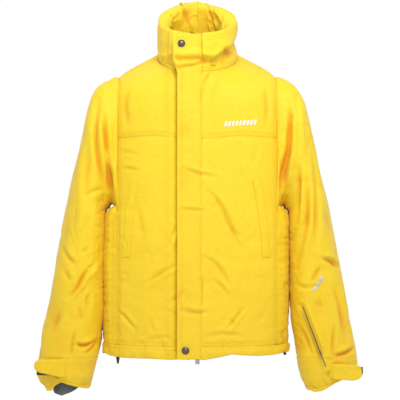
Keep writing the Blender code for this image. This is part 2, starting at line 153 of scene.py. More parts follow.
def crease(x, z, path, width, depth, lip=0.55):
    """Height near a fold along a path of (x, z): a valley with a soft ridge on its left side."""
    line = rounded(path)
    near = np.full(x.shape, 9.0)
    share = np.zeros(x.shape)
    side = np.zeros(x.shape)
    lengths = np.linalg.norm(np.diff(line, axis=0), axis=1)
    done = 0.0
    for a, b, length in zip(line, line[1:], lengths):
        t = np.clip(((x - a[0]) * (b[0] - a[0]) + (z - a[1]) * (b[1] - a[1])) / length**2, 0, 1)
        dx, dz = x - a[0] - t * (b[0] - a[0]), z - a[1] - t * (b[1] - a[1])
        d = np.hypot(dx, dz)
        closer = d < near
        near = np.where(closer, d, near)
        share = np.where(closer, (done + t * length) / lengths.sum(), share)
        side = np.where(closer, np.sign((b[0] - a[0]) * dz - (b[1] - a[1]) * dx), side)
        done += length
    taper = np.sin(np.pi * np.clip(share, 0.03, 0.97)) ** 0.6
    ridge = bump(near - 1.9 * width, 1.3 * width) * (0.6 + 0.4 * side)
    return depth * taper * (lip * ridge - bump(near, width))


# --- Surfaces, the same as the CAD's ------------------------------------------------------------


def front_y(z):
    return -(FRONT_DEPTH - FRONT_LEAN * z)


def section(angle, z):
    u = np.sin(angle)
    depth = np.maximum(1.0 - np.abs(u) ** BODY_POWER, 0.0) ** (1.0 / BODY_POWER)
    y = np.where(np.cos(angle) > 0, front_y(z), BACK_DEPTH) * depth
    return np.stack((BODY_HALF_WIDTH * u, y, z + 0.0 * u), axis=-1)


def neck_ring(angle, half_width, back_depth, mid_z, tilt):
    u, v = np.sin(angle), np.cos(angle)
    z = mid_z - tilt * v
    return np.stack((half_width * u, np.where(v > 0, front_y(z), -back_depth) * v, z), axis=-1)


def body(angle, level):
    """level runs 0 to 1 from hem to chest, then 1 to 2 over the shoulder to the neck seam."""
    angle, level = np.broadcast_arrays(np.asarray(angle, float), np.asarray(level, float))
    lower = section(angle, HEM_Z + (CHEST_Z - HEM_Z) * level)
    start = section(angle, CHEST_Z + 0.0 * angle)
    end = neck_ring(angle, NECK_HALF_WIDTH, NECK_BACK_DEPTH, NECK_MID_Z, NECK_TILT)
    side = (np.abs(np.sin(angle)) ** 1.5)[..., None]
    third = (end[..., 2:] - start[..., 2:]) / 3
    zero = 0.0 * angle
    lean_y = np.where(np.cos(angle) > 0, FRONT_LEAN, -0.02)
    lean = np.stack((zero, lean_y, zero + 1.0), axis=-1)
    inward = unit(np.stack((-np.sin(angle), 0.25 * np.cos(angle), zero + 0.42), axis=-1))
    arrive = lean + (inward - lean) * side
    b = start + lean * ((1 - side) * third + side * 0.088)
    c = end - arrive * ((1 - side) * third + side * 0.070)
    t = (level - 1.0)[..., None]
    s = 1.0 - t
    upper = start * s**3 + b * 3 * s * s * t + c * 3 * s * t * t + end * t**3
    return np.where(level[..., None] <= 1.0, lower, upper)


def collar(angle, level):
    angle, level = np.broadcast_arrays(np.asarray(angle, float), np.asarray(level, float))
    low = neck_ring(angle, NECK_HALF_WIDTH, NECK_BACK_DEPTH, NECK_MID_Z, NECK_TILT)
    high = neck_ring(angle, COLLAR_HALF_WIDTH, COLLAR_BACK_DEPTH, COLLAR_MID_Z, COLLAR_TILT)
    point = low + (high - low) * level[..., None]
    side = np.abs(np.sin(angle)) ** 1.5
    draw = 0.06 * np.sin(np.pi * level) * (1.0 - 0.9 * level) * side
    draw = draw + 0.085 * bump(level - 0.42, 0.20) * side * (np.sin(angle) > 0)
    point[..., 0] *= 1.0 - draw
    return point


def normals(surface, angle, level):
    # The body's section has a blunt corner at its sides, so look further either way there
    step = 1e-3 + 0.03 * bump(np.cos(angle), 0.06)
    across = surface(angle + step, level) - surface(angle - step, level)
    up = surface(angle, level + 1e-3) - surface(angle, level - 1e-3)
    return unit(np.cross(across, up))


def angle_at(surface, x, level, back=False):
    """The angle on the left where the surface reaches x, at each level."""
    level = np.asarray(level, float)
    near, far = np.zeros(level.shape), np.full(level.shape, np.pi / 2)
    if back:
        near = near + np.pi
    for _ in range(40):
        mid = (near + far) / 2
        inside = surface(mid, level)[..., 0] < x
        near, far = np.where(inside, mid, near), np.where(inside, far, mid)
    return (near + far) / 2


def chest_level(z):
    return (z - HEM_Z) / (CHEST_Z - HEM_Z)


def stations_at(t):
    """Sleeve station values at fractional station numbers, as a smooth curve through them."""
    t = np.asarray(t, float)
    i = np.clip(np.floor(t).astype(int), 0, len(STATIONS) - 2)
    f = (t - i)[..., None]
    slope = np.gradient(STATIONS, axis=0)
    slope[0], slope[-1] = STATIONS[1] - STATIONS[0], STATIONS[-1] - STATIONS[-2]
    a, b, m, n = STATIONS[i], STATIONS[i + 1], slope[i], slope[i + 1]
    return ((2 * f**3 - 3 * f**2 + 1) * a + (f**3 - 2 * f**2 + f) * m
            + (3 * f**2 - 2 * f**3) * b + (f**3 - f**2) * n)


def sleeve(angle, t):
    """The wearer's left sleeve. angle is 0 on the outside and a quarter turn at the front."""
    angle, t = np.broadcast_arrays(np.asarray(angle, float), np.asarray(t, float))
    s = stations_at(t)
    outer = np.stack((s[..., 0], 0 * t, s[..., 1]), axis=-1)
    inner = np.stack((s[..., 2], 0 * t, s[..., 3]), axis=-1)
    c, n = np.cos(angle), np.sin(angle)
    c = np.sign(c) * np.abs(c) ** (2 / SLEEVE_POWER)
    n = np.sign(n) * np.abs(n) ** (2 / SLEEVE_POWER)
    point = (outer + inner) / 2 + (outer - inner) / 2 * c[..., None]
    point[..., 1] = s[..., 5] - s[..., 4] * n
    return point


# --- Sheets: grids of points on the cloth ---------------------------------------------------------


def spaced(length, step, seams=(True, True)):
    """Shares 0 to 1 along a length, closer together beside a seam."""
    fine = np.array((0.0, 0.0009, 0.0018, 0.0030, 0.0046)) / length
    inner = np.linspace(fine[-1] if seams[0] else 0.0, 1 - (fine[-1] if seams[1] else 0.0),
                        max(3, int(length / step)))
    parts = [fine[:-1]] if seams[0] else []
    parts.append(inner)
    if seams[1]:
        parts.append(1.0 - fine[-2::-1])
    return np.concatenate(parts)


class Sheet:
    """Rows and columns of points; wrap joins each row into a ring."""

    def __init__(self, points, wrap=False):
        self.points = np.array(points, float)
        self.wrap = wrap

    def normals(self):
        p = self.points
        if self.wrap:
            q = np.concatenate((p[:, -1:], p, p[:, :1]), axis=1)
            across = (q[:, 2:] - q[:, :-2])
        else:
            across = np.gradient(p, axis=1)
        return unit(np.cross(across, np.gradient(p, axis=0)))

    def lengths(self):
        """Distances along the columns and the rows, in metres, for the weave."""
        p = self.points
        if self.wrap:
            p = np.concatenate((p, p[:, :1]), axis=1)
        u = np.concatenate(([0.0], np.cumsum(np.linalg.norm(np.diff(p, axis=1), axis=2).mean(0))))
        v = np.concatenate(([0.0], np.cumsum(np.linalg.norm(np.diff(p, axis=0), axis=2).mean(1))))
        return u, v

    def part(self, rows=(None, None), columns=(None, None)):
        whole = columns == (None, None)
        return Sheet(self.points[slice(*rows), slice(*columns)], self.wrap and whole)

    def row(self, i, lift=0.0):
        return self.points[i] + self.normals()[i] * lift

    def column(self, j, lift=0.0):
        return self.points[:, j] + self.normals()[:, j] * lift


def roll(points, outward, normal, radius, turn, steps):
    """Rows that carry an edge on round a small radius, for a folded edge."""
    rows = []
    for a in np.linspace(0, turn, steps + 1)[1:]:
        rows.append(points + outward * radius * math.sin(a) - normal * radius * (1 - math.cos(a)))
    return np.array(rows)


def rolled_top(sheet, radius, turn=math.pi, steps=6):
    p = sheet.points
    n = sheet.normals()[-1]
    out = unit(p[-1] - p[-2])
    return Sheet(np.concatenate((p, roll(p[-1], out, n, radius, turn, steps))), sheet.wrap)


def rolled_bottom(sheet, radius, turn=math.pi, steps=6):
    p = sheet.points
    n = sheet.normals()[0]
    out = unit(p[0] - p[1])
    return Sheet(np.concatenate((roll(p[0], out, n, radius, turn, steps)[::-1], p)), sheet.wrap)


def rolled_sides(sheet, radius, sides=(True, True), turn=math.pi / 2, steps=4):
    p = sheet.points
    n = sheet.normals()
    parts = [p]
    if sides[0]:
        rows = roll(p[:, 0], unit(p[:, 0] - p[:, 1]), n[:, 0], radius, turn, steps)
        parts.insert(0, rows[::-1].transpose(1, 0, 2))
    if sides[1]:
        rows = roll(p[:, -1], unit(p[:, -1] - p[:, -2]), n[:, -1], radius, turn, steps)
        parts.append(rows.transpose(1, 0, 2))
    return Sheet(np.concatenate(parts, axis=1))


def cloth_mesh(name, sheet, look, fold_shade=None, flip=False):
    """A mesh from a sheet, with lengths in metres as its UV map and the depth of its folds, which the cloth materials
    paint as shade.
    """
    p = sheet.points
    rows, columns = p.shape[:2]
    index = np.arange(rows * columns).reshape(rows, columns)
    if sheet.wrap:
        index = np.concatenate((index, index[:, :1]), axis=1)
    quads = np.stack((index[:-1, :-1], index[:-1, 1:], index[1:, 1:], index[1:, :-1]), axis=-1)
    quads = quads.reshape(-1, 4)
    if flip:
        quads = quads[:, ::-1]
    mesh = bpy.data.meshes.new(name)
    mesh.from_pydata(p.reshape(-1, 3).tolist(), [], quads.tolist())
    mesh.shade_smooth()
    u, v = sheet.lengths()
    i, j = np.meshgrid(np.arange(rows - 1), np.arange(index.shape[1] - 1), indexing="ij")
    corners = [(i, j), (i, j + 1), (i + 1, j + 1), (i + 1, j)]
    if flip:
        corners = corners[::-1]
    uv = np.stack([np.stack((u[c], v[r]), axis=-1) for r, c in corners], axis=2)
    uv = uv.reshape(-1, 2)
    layer = mesh.uv_layers.new(name="cloth")
    layer.data.foreach_set("uv", uv.astype(np.float32).ravel())
    if fold_shade is None:
        fold_shade = np.zeros((rows, columns))
    attribute = mesh.attributes.new("fold_shade", "FLOAT", "POINT")
    attribute.data.foreach_set("value", np.clip(fold_shade, 0, 1).astype(np.float32).ravel())
    mesh.materials.append(look)
    obj = bpy.data.objects.new(name, mesh)
    bpy.context.scene.collection.objects.link(obj)
    return obj


def solid(name, bm, look, angle=35):
    bmesh.ops.recalc_face_normals(bm, faces=bm.faces)
    mesh = bpy.data.meshes.new(name)
    bm.to_mesh(mesh)
    bm.free()
    mesh.materials.append(look)
    mesh.shade_smooth()
    mesh.set_sharp_from_angle(angle=math.radians(angle))
    obj = bpy.data.objects.new(name, mesh)
    bpy.context.scene.collection.objects.link(obj)
    return obj


def raw_mesh(name, points, faces, look):
    mesh = bpy.data.meshes.new(name)
    mesh.from_pydata(np.asarray(points).tolist(), [], [list(map(int, f)) for f in faces])
    mesh.shade_smooth()
    mesh.materials.append(look)
    obj = bpy.data.objects.new(name, mesh)
    bpy.context.scene.collection.objects.link(obj)
    return obj


def stitch_row(line, up, length=0.0030, gap=0.0013, radius=0.00036):
    """Points and faces of thread stitches laid along a line of points on the cloth."""
    steps = np.linalg.norm(np.diff(line, axis=0), axis=1)
    at = np.concatenate(([0.0], np.cumsum(steps)))
    starts = np.arange(gap, at[-1] - length, length + gap)
    points, faces = [], []
    ring = np.linspace(0, 2 * np.pi, 6)[:-1]

    def along(array, s):
        return np.stack([np.interp(s, at, array[:, k]) for k in range(3)], axis=-1)

    for n, s in enumerate(starts):
        first = n * 20
        for k, (share, size) in enumerate(((0.0, 0.25), (0.2, 1.0), (0.8, 1.0), (1.0, 0.25))):
            centre = along(line, s + share * length)
            ahead = unit(along(line, s + length) - along(line, s))
            lift = unit(along(up, s + share * length))
            across = np.cross(ahead, lift)
            sink = centre + lift * radius * (0.9 * size - 0.3)
            for a in ring:
                points.append(sink + radius * size * (math.cos(a) * across + math.sin(a) * lift))
        for k in range(3):
            for m in range(5):
                q = (m + 1) % 5
                faces.append((first + k * 5 + m, first + k * 5 + q,
                              first + k * 5 + 5 + q, first + k * 5 + 5 + m))
        faces.append([first + m for m in (4, 3, 2, 1, 0)])
        faces.append([first + 15 + m for m in range(5)])
    return points, faces


def stitches(name, rows, look, body_name=None):
    """One piece of thread stitches along several lines. rows holds (line, up) pairs."""
    points, faces = [], []
    for line, up in rows:
        more, quads = stitch_row(np.asarray(line), np.asarray(up))
        faces += [[i + len(points) for i in f] for f in quads]
        points += more
    obj = raw_mesh(name, points, faces, look)
    if body_name:
        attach(obj, body_name)
    return obj


# --- Materials --------------------------------------------------------------------------------------


class Look:
    """A node material, with short calls for its nodes."""

    def __init__(self, name, color, roughness, **sockets):
        self.made = bpy.data.materials.new(name)
        self.made.use_nodes = True
        self.nodes = self.made.node_tree.nodes
        self.links = self.made.node_tree.links
        self.shader = self.nodes["Principled BSDF"]
        self.shader.inputs["Base Color"].default_value = (*color, 1.0)
        self.shader.inputs["Roughness"].default_value = roughness
        for key, value in sockets.items():
            self.shader.inputs[key.replace("_", " ")].default_value = value

    def node(self, kind, settings=None, **inputs):
        made = self.nodes.new(kind)
        for key, value in (settings or {}).items():
            setattr(made, key, value)
        for key, value in inputs.items():
            socket = made.inputs[key.replace("_", " ")]
            if isinstance(value, bpy.types.NodeSocket):
                self.links.new(value, socket)
            else:
                socket.default_value = value
        return made

    def math(self, operation, a, b=0.0, c=0.0):
        made = self.nodes.new("ShaderNodeMath")
        made.operation = operation
        for socket, value in zip(made.inputs, (a, b, c)):
            if isinstance(value, bpy.types.NodeSocket):
                self.links.new(value, socket)
            else:
                socket.default_value = value
        return made.outputs[0]

    def mix(self, share, a, b, blend="MIX"):
        made = self.nodes.new("ShaderNodeMix")
        made.data_type = "RGBA"
        made.blend_type = blend
        for socket, value in ((made.inputs[0], share), (made.inputs[6], a), (made.inputs[7], b)):
            if isinstance(value, bpy.types.NodeSocket):
                self.links.new(value, socket)
            else:
                socket.default_value = value if isinstance(value, float) else (*value, 1.0)
        return made.outputs[2]

    def ramp(self, value, low, high):
        made = self.node("ShaderNodeMapRange", Value=value)
        made.inputs["From Min"].default_value = low
        made.inputs["From Max"].default_value = high
        return made.outputs[0]

    def noise(self, vector, scale, detail=3.0, roughness=0.55):
        made = self.node("ShaderNodeTexNoise", Scale=scale, Detail=detail, Roughness=roughness,
                         Vector=vector)
        return made.outputs["Fac"]

    def wave(self, vector, pitch, direction):
        made = self.node("ShaderNodeTexWave", {"bands_direction": direction},
                         Scale=2 * math.pi / (20.0 * pitch), Vector=vector)
        return made.outputs["Fac"]

    def bump(self, height, distance, strength=1.0, below=None):
        made = self.node("ShaderNodeBump", Height=height, Distance=distance, Strength=strength)
        if below is not None:
            self.links.new(below, made.inputs["Normal"])
        return made.outputs["Normal"]

    def finish(self, color=None, normal=None, roughness=None):
        for key, value in (("Base Color", color), ("Normal", normal), ("Roughness", roughness)):
            if value is not None:
                self.links.new(value, self.shader.inputs[key])
        return self.made


def woven(name, color, deep, thread, roughness=0.55, sheen=0.16, crinkle=0.0006, weave=0.00012):
    """Plain-woven cloth: two sets of threads, light crinkles, mottling, and painted shade that deepens the colour low
    down and in folds.
    """
    look = Look(name, color, roughness, Sheen_Weight=sheen, Sheen_Roughness=0.45,
                Specular_IOR_Level=0.32)
    look.shader.inputs["Sheen Tint"].default_value = (1.0, 0.86, 0.45, 1.0)
    uv = look.node("ShaderNodeUVMap", {"uv_map": "cloth"}).outputs["UV"]
    warp, weft = look.wave(uv, thread, "X"), look.wave(uv, thread * 1.1, "Y")
    over = look.math("MULTIPLY", warp, weft)
    under = look.math("MULTIPLY", look.math("SUBTRACT", 1.0, warp), look.math("SUBTRACT", 1.0, weft))
    threads = look.math("ADD", over, under)
    small = look.noise(uv, 105.0, 4.0, 0.62)
    wide = look.noise(uv, 11.0, 2.0)
    fold_shade = look.node("ShaderNodeAttribute", {"attribute_name": "fold_shade"}).outputs["Fac"]
    tone = look.mix(look.ramp(wide, 0.35, 0.70), [c * 0.965 for c in color], color)
    # Painted shade: the colour is deeper and more orange low down, where less light falls, and paler on the shoulders
    # and chest
    where = look.node("ShaderNodeSeparateXYZ", Vector=look.node("ShaderNodeTexCoord").outputs["Object"])
    low_shade = look.math("MULTIPLY", look.ramp(where.outputs["Z"], -0.22, -0.72), 0.26)
    tone = look.mix(low_shade, tone, [color[0] * 0.98, color[1] * 0.74, color[2] * 0.6])
    tone = look.mix(look.math("MULTIPLY", look.ramp(small, 0.42, 0.75), 0.16), tone, deep)
    tone = look.mix(look.math("MULTIPLY", look.math("SUBTRACT", 1.0, threads), 0.10), tone, deep)
    # Painted shade: the colour deepens towards the darker orange in fold valleys and seam dips, by the fold depth
    # stored on the mesh.
    tone = look.mix(look.math("MULTIPLY", fold_shade, 0.85), tone, deep)
    rough = look.math("ADD", look.math("MULTIPLY", small, 0.16), roughness - 0.08)
    normal = look.bump(small, crinkle, 0.8)
    normal = look.bump(threads, weave, 0.6, normal)
    return look.finish(tone, normal, rough)


def knitted(name, color, light):
    look = Look(name, color, 0.85, Sheen_Weight=0.4, Sheen_Roughness=0.5, Specular_IOR_Level=0.2)
    uv = look.node("ShaderNodeUVMap", {"uv_map": "cloth"}).outputs["UV"]
    loops = look.wave(uv, 0.0012, "Y")
    ribs = look.wave(uv, 0.0024, "X")
    small = look.noise(uv, 900.0, 2.0)
    height = look.math("ADD", look.math("MULTIPLY", ribs, 0.8), look.math("MULTIPLY", loops, 0.4))
    tone = look.mix(look.math("MULTIPLY", height, 0.5), color, light)
    tone = look.mix(look.math("MULTIPLY", small, 0.3), tone, light)
    return look.finish(tone, look.bump(height, 0.0006, 0.8))


def bristled(name, color, light, scale, distance):
    """Hook or loop tape: a dense nap of short bristles."""
    look = Look(name, color, 0.9, Sheen_Weight=0.3, Specular_IOR_Level=0.2)
    where = look.node("ShaderNodeTexCoord").outputs["Object"]
    nap = look.node("ShaderNodeTexVoronoi", Scale=scale, Vector=where).outputs["Distance"]
    tone = look.mix(look.ramp(nap, 0.1, 0.8), color, light)
    return look.finish(tone, look.bump(nap, distance, 1.0))


def metal(name, color, worn, roughness, metallic=0.9, grain=500.0):
    look = Look(name, color, roughness, Metallic=metallic)
    where = look.node("ShaderNodeTexCoord").outputs["Object"]
    scratch = look.noise(where, grain, 4.0, 0.7)
    cloud = look.noise(where, 90.0, 2.0)
    tone = look.mix(look.math("MULTIPLY", look.ramp(scratch, 0.5, 0.8), 0.5), color, worn)
    tone = look.mix(look.math("MULTIPLY", cloud, 0.25), tone, worn)
    rough = look.math("ADD", look.math("MULTIPLY", scratch, 0.22), roughness - 0.09)
    return look.finish(tone, look.bump(scratch, 0.00004, 0.5), rough)


def moulded(name, color, light, roughness=0.45):
    look = Look(name, color, roughness, Specular_IOR_Level=0.45)
    where = look.node("ShaderNodeTexCoord").outputs["Object"]
    grain = look.noise(where, 1400.0, 3.0)
    cloud = look.noise(where, 60.0, 2.0)
    tone = look.mix(look.math("MULTIPLY", cloud, 0.35), color, light)
    rough = look.math("ADD", look.math("MULTIPLY", grain, 0.2), roughness - 0.1)
    return look.finish(tone, look.bump(grain, 0.00005, 0.5), rough)


def ribbed(name, color, light, pitch=0.0011):
    """Narrow woven tape: herringbone ribs."""
    look = Look(name, color, 0.8, Sheen_Weight=0.25, Specular_IOR_Level=0.25)
    where = look.node("ShaderNodeTexCoord").outputs["Object"]
    ribs = look.wave(where, pitch, "Z")
    cross = look.wave(where, pitch * 0.8, "X")
    height = look.math("MULTIPLY", look.math("ADD", ribs, cross), 0.5)
    cloud = look.noise(where, 300.0, 2.0)
    tone = look.mix(height, color, light)
    tone = look.mix(look.math("MULTIPLY", cloud, 0.2), tone, color)
    return look.finish(tone, look.bump(height, 0.0002, 0.8))


YELLOW, DEEP_YELLOW = (0.93, 0.690, 0.022), (0.80, 0.34, 0.006)
SHELL = woven("shell_weave", YELLOW, DEEP_YELLOW, 0.00075)
LINING = woven("lining_taffeta", (0.90, 0.62, 0.050), (0.72, 0.38, 0.02), 0.0005, 0.45, 0.15, 0.0003,
               0.00006)
THREAD = ribbed("sewing_thread", (0.84, 0.52, 0.025), (0.93, 0.66, 0.04), 0.0005)
KNIT = knitted("wrist_rib_knit", (0.105, 0.105, 0.112), (0.20, 0.20, 0.21))
HOOK = bristled("hook_tape_bristle", (0.020, 0.018, 0.016), (0.075, 0.068, 0.060), 1500.0, 0.0004)
LOOP = bristled("loop_tape_nap", (0.80, 0.50, 0.03), (0.92, 0.66, 0.06), 1100.0, 0.0003)
TAPE = ribbed("zip_tape_weave", (0.78, 0.50, 0.03), (0.90, 0.64, 0.05))
DARK = moulded("dark_coil_nylon", (0.020, 0.019, 0.018), (0.060, 0.055, 0.050), 0.42)
PLASTIC = moulded("black_moulded_plastic", (0.012, 0.012, 0.013), (0.045, 0.045, 0.047), 0.40)
STEEL = metal("satin_grey_metal", (0.42, 0.42, 0.43), (0.66, 0.66, 0.67), 0.32)
GUNMETAL = metal("gunmetal_bronze", (0.135, 0.105, 0.090), (0.30, 0.25, 0.21), 0.30, 0.88)
PRINT = moulded("white_transfer_print", (0.86, 0.86, 0.84), (0.95, 0.95, 0.94), 0.5)
PRINT_GREY = moulded("grey_transfer_print", (0.62, 0.60, 0.55), (0.75, 0.73, 0.68), 0.5)
FACING = woven("cuff_facing", (0.070, 0.055, 0.035), (0.030, 0.022, 0.015), 0.0006, 0.7, 0.2)


# --- Camera, light and floor -----------------------------------------------------------------------


def make_stage():
    camera = bpy.data.objects.new("camera", bpy.data.cameras.new("camera"))
    camera.data.lens, camera.data.sensor_width = 120.0, 36.0
    camera.location = (0.0056, -3.0, -0.315)
    camera.rotation_euler = (math.pi / 2, 0.0, 0.0)
    camera.data.clip_start, camera.data.clip_end = 0.05, 60.0
    bpy.context.scene.collection.objects.link(camera)
    bpy.context.scene.camera = camera
    world = bpy.data.worlds.new("studio")
    world.use_nodes = True
    # A white backdrop all round, with a dimmer ceiling
    nodes, links = world.node_tree.nodes, world.node_tree.links
    where, split = nodes.new("ShaderNodeTexCoord"), nodes.new("ShaderNodeSeparateXYZ")
    height, tone = nodes.new("ShaderNodeMath"), nodes.new("ShaderNodeValToRGB")
    height.operation = "ABSOLUTE"
    tone.color_ramp.elements[0].position, tone.color_ramp.elements[0].color = 0.17, (1.0, 1.0, 1.0, 1.0)
    tone.color_ramp.elements[1].position, tone.color_ramp.elements[1].color = 0.40, (0.52, 0.52, 0.525, 1.0)
    links.new(where.outputs["Generated"], split.inputs[0])
    links.new(split.outputs["Z"], height.inputs[0])
    links.new(height.outputs[0], tone.inputs[0])
    links.new(tone.outputs[0], nodes["Background"].inputs["Color"])
    nodes["Background"].inputs["Strength"].default_value = 1.0
    bpy.context.scene.world = world
    for name, place, size, power in (
        ("key_light", (0.22, -1.45, 1.05), 0.9, 24.0),
        ("top_light", (-0.4, 0.3, 2.0), 1.5, 9.0),
    ):
        lamp = bpy.data.objects.new(name, bpy.data.lights.new(name, "AREA"))
        lamp.data.energy, lamp.data.size = power, size
        lamp.location = place
        aim = Vector((0.0, 0.0, -0.06)) - Vector(place)
        lamp.rotation_euler = aim.to_track_quat("-Z", "Y").to_euler()
        bpy.context.scene.collection.objects.link(lamp)
    bm = bmesh.new()
    bmesh.ops.create_grid(bm, x_segments=8, y_segments=8, size=4.0)
    floor_look = Look("pale_floor", (0.93, 0.93, 0.93), 0.8)
    where = floor_look.node("ShaderNodeTexCoord").outputs["Object"]
    cloud = floor_look.noise(where, 3.0, 3.0)
    floor_look.finish(floor_look.mix(cloud, (0.92, 0.92, 0.92), (0.95, 0.95, 0.945)))
    floor = solid("floor", bm, floor_look.made)
    floor.location = (0.0, 0.0, -1.55)
    scene = bpy.context.scene
    scene.view_settings.view_transform = "Standard"
    scene.view_settings.look = "None"


make_stage()


# --- Folds -------------------------------------------------------------------------------------------

# Each fold: points (x, z) along its valley, width, depth
BODY_FOLDS = (
    (((-0.164, -0.246), (-0.146, -0.247), (-0.128, -0.251)), 0.0035, 0.0020),
    (((-0.175, -0.208), (-0.150, -0.211), (-0.126, -0.217)), 0.0040, 0.0012),
    (((-0.046, -0.375), (-0.055, -0.396), (-0.068, -0.420)), 0.0045, 0.0030),
    (((-0.046, -0.457), (-0.078, -0.473), (-0.110, -0.496)), 0.0040, 0.0038),
    (((-0.175, -0.556), (-0.156, -0.570), (-0.134, -0.597)), 0.0038, 0.0034),
    (((-0.102, -0.575), (-0.095, -0.600)), 0.0035, 0.0020),
    (((-0.030, -0.246), (0.008, -0.260), (0.040, -0.266)), 0.0040, 0.0030),
    (((-0.038, -0.334), (-0.010, -0.336), (0.014, -0.337)), 0.0032, 0.0028),
    (((0.022, -0.296), (0.048, -0.325), (0.066, -0.362), (0.098, -0.430)), 0.0048, 0.0044),
    (((0.016, -0.438), (0.044, -0.459), (0.068, -0.500)), 0.0045, 0.0036),
    (((0.032, -0.488), (0.050, -0.500), (0.066, -0.522)), 0.0035, 0.0026),
    (((-0.034, -0.550), (-0.008, -0.556), (0.022, -0.558)), 0.0045, 0.0034),
    (((0.102, -0.546), (0.086, -0.566), (0.062, -0.597)), 0.0032, 0.0040),
    (((0.094, -0.242), (0.100, -0.266)), 0.0035, 0.0018),
    (((0.118, -0.275), (0.128, -0.305), (0.136, -0.341)), 0.0040, 0.0020),
    (((0.034, -0.044), (0.020, -0.070), (0.012, -0.102)), 0.0060, 0.0026),
    (((0.130, -0.200), (0.120, -0.240)), 0.0060, 0.0014),
    (((-0.060, -0.540), (-0.030, -0.512)), 0.0050, 0.0018),
    (((-0.130, -0.330), (-0.118, -0.400)), 0.0060, 0.0016),
    (((0.020, -0.610), (0.060, -0.604), (0.100, -0.612)), 0.0050, 0.0022),
    (((-0.110, -0.618), (-0.070, -0.612), (-0.050, -0.618)), 0.0045, 0.0018),
    (((-0.150, -0.075), (-0.158, -0.110), (-0.150, -0.150)), 0.0060, 0.0022),
    (((0.148, -0.070), (0.152, -0.110), (0.150, -0.160)), 0.0060, 0.0022),
)
LEFT_SLEEVE_FOLDS = (
    (((0.208, -0.100), (0.203, -0.160), (0.198, -0.223), (0.186, -0.290)), 0.0065, 0.0080),
    (((0.197, -0.205), (0.190, -0.240), (0.186, -0.285)), 0.0075, 0.0070),
    (((0.218, -0.080), (0.220, -0.150), (0.219, -0.225)), 0.0055, 0.0045),
    (((0.222, -0.232), (0.222, -0.300), (0.222, -0.365)), 0.0055, 0.0055),
    (((0.257, -0.225), (0.260, -0.320), (0.256, -0.416)), 0.0065, 0.0042),
    (((0.240, -0.268), (0.240, -0.330), (0.234, -0.390), (0.218, -0.464)), 0.0060, 0.0055),
    (((0.272, -0.443), (0.294, -0.450), (0.318, -0.468)), 0.0045, 0.0060),
    (((0.268, -0.462), (0.258, -0.480), (0.247, -0.500)), 0.0045, 0.0040),
    (((0.299, -0.505), (0.314, -0.550), (0.326, -0.612)), 0.0065, 0.0046),
    (((0.300, -0.590), (0.297, -0.625), (0.295, -0.662)), 0.0038, 0.0038),
    (((0.300, -0.657), (0.325, -0.652), (0.350, -0.640)), 0.0045, 0.0055),
    (((0.232, -0.120), (0.240, -0.190)), 0.0075, 0.0025),
    (((0.222, -0.500), (0.240, -0.508), (0.262, -0.500)), 0.0050, 0.0025),
    (((0.222, -0.590), (0.238, -0.618), (0.250, -0.652)), 0.0040, 0.0030),
    (((0.282, -0.340), (0.300, -0.390)), 0.0070, 0.0020),
)
RIGHT_SLEEVE_FOLDS = (
    (((-0.218, -0.095), (-0.223, -0.168), (-0.216, -0.234), (-0.202, -0.290)), 0.0058, 0.0070),
    (((-0.207, -0.128), (-0.203, -0.170), (-0.198, -0.225)), 0.0050, 0.0080),
    (((-0.198, -0.230), (-0.194, -0.262), (-0.190, -0.300)), 0.0065, 0.0085),
    (((-0.211, -0.291), (-0.226, -0.296), (-0.246, -0.305)), 0.0050, 0.0030),
    (((-0.296, -0.420), (-0.284, -0.440), (-0.268, -0.456)), 0.0050, 0.0034),
    (((-0.240, -0.420), (-0.252, -0.432)), 0.0040, 0.0024),
    (((-0.228, -0.456), (-0.250, -0.482), (-0.264, -0.508), (-0.284, -0.530)), 0.0042, 0.0060),
    (((-0.292, -0.468), (-0.280, -0.492)), 0.0055, 0.0030),
    (((-0.240, -0.525), (-0.242, -0.545), (-0.240, -0.570)), 0.0045, 0.0034),
    (((-0.262, -0.545), (-0.252, -0.580)), 0.0060, 0.0028),
    (((-0.268, -0.600), (-0.274, -0.628), (-0.278, -0.658)), 0.0040, 0.0036),
    (((-0.268, -0.632), (-0.244, -0.634), (-0.218, -0.624)), 0.0042, 0.0060),
    (((-0.244, -0.652), (-0.230, -0.640), (-0.218, -0.628)), 0.0038, 0.0040),
    (((-0.300, -0.560), (-0.318, -0.600)), 0.0070, 0.0026),
    (((-0.236, -0.180), (-0.242, -0.250), (-0.244, -0.330)), 0.0085, 0.0026),
    (((-0.262, -0.330), (-0.276, -0.380)), 0.0080, 0.0020),
)
BACK_FOLDS = (
    (((-0.120, -0.200), (-0.090, -0.300), (-0.085, -0.420)), 0.0090, 0.0040),
    (((0.118, -0.210), (0.096, -0.310), (0.088, -0.400)), 0.0090, 0.0040),
    (((0.020, -0.240), (0.012, -0.360), (0.030, -0.480)), 0.0100, 0.0030),
    (((-0.150, -0.470), (-0.090, -0.520), (-0.040, -0.560)), 0.0065, 0.0040),
    (((0.150, -0.480), (0.100, -0.515), (0.050, -0.575)), 0.0065, 0.0036),
    (((-0.030, -0.590), (0.030, -0.596)), 0.0060, 0.0028),
    (((-0.060, -0.110), (-0.110, -0.100)), 0.0080, 0.0022),
    (((0.060, -0.105), (0.115, -0.098)), 0.0080, 0.0022),
)
SLEEVE_BACK_FOLDS = (
    (((0.205, -0.130), (0.200, -0.220), (0.192, -0.300)), 0.0070, 0.0080),
    (((0.236, -0.150), (0.244, -0.260), (0.238, -0.360)), 0.0085, 0.0040),
    (((0.222, -0.440), (0.262, -0.462), (0.308, -0.450)), 0.0060, 0.0050),
    (((0.228, -0.500), (0.268, -0.492), (0.310, -0.506)), 0.0055, 0.0042),
    (((0.300, -0.540), (0.290, -0.600), (0.300, -0.650)), 0.0070, 0.0034),
    (((0.236, -0.560), (0.250, -0.620)), 0.0065, 0.0030),
)


def folds(points, table, mirror=1):
    x, z = points[..., 0] * mirror, points[..., 2]
    total = np.zeros(x.shape)
    for path, width, depth in table:
        total += crease(x, z, path, width, depth)
    return total


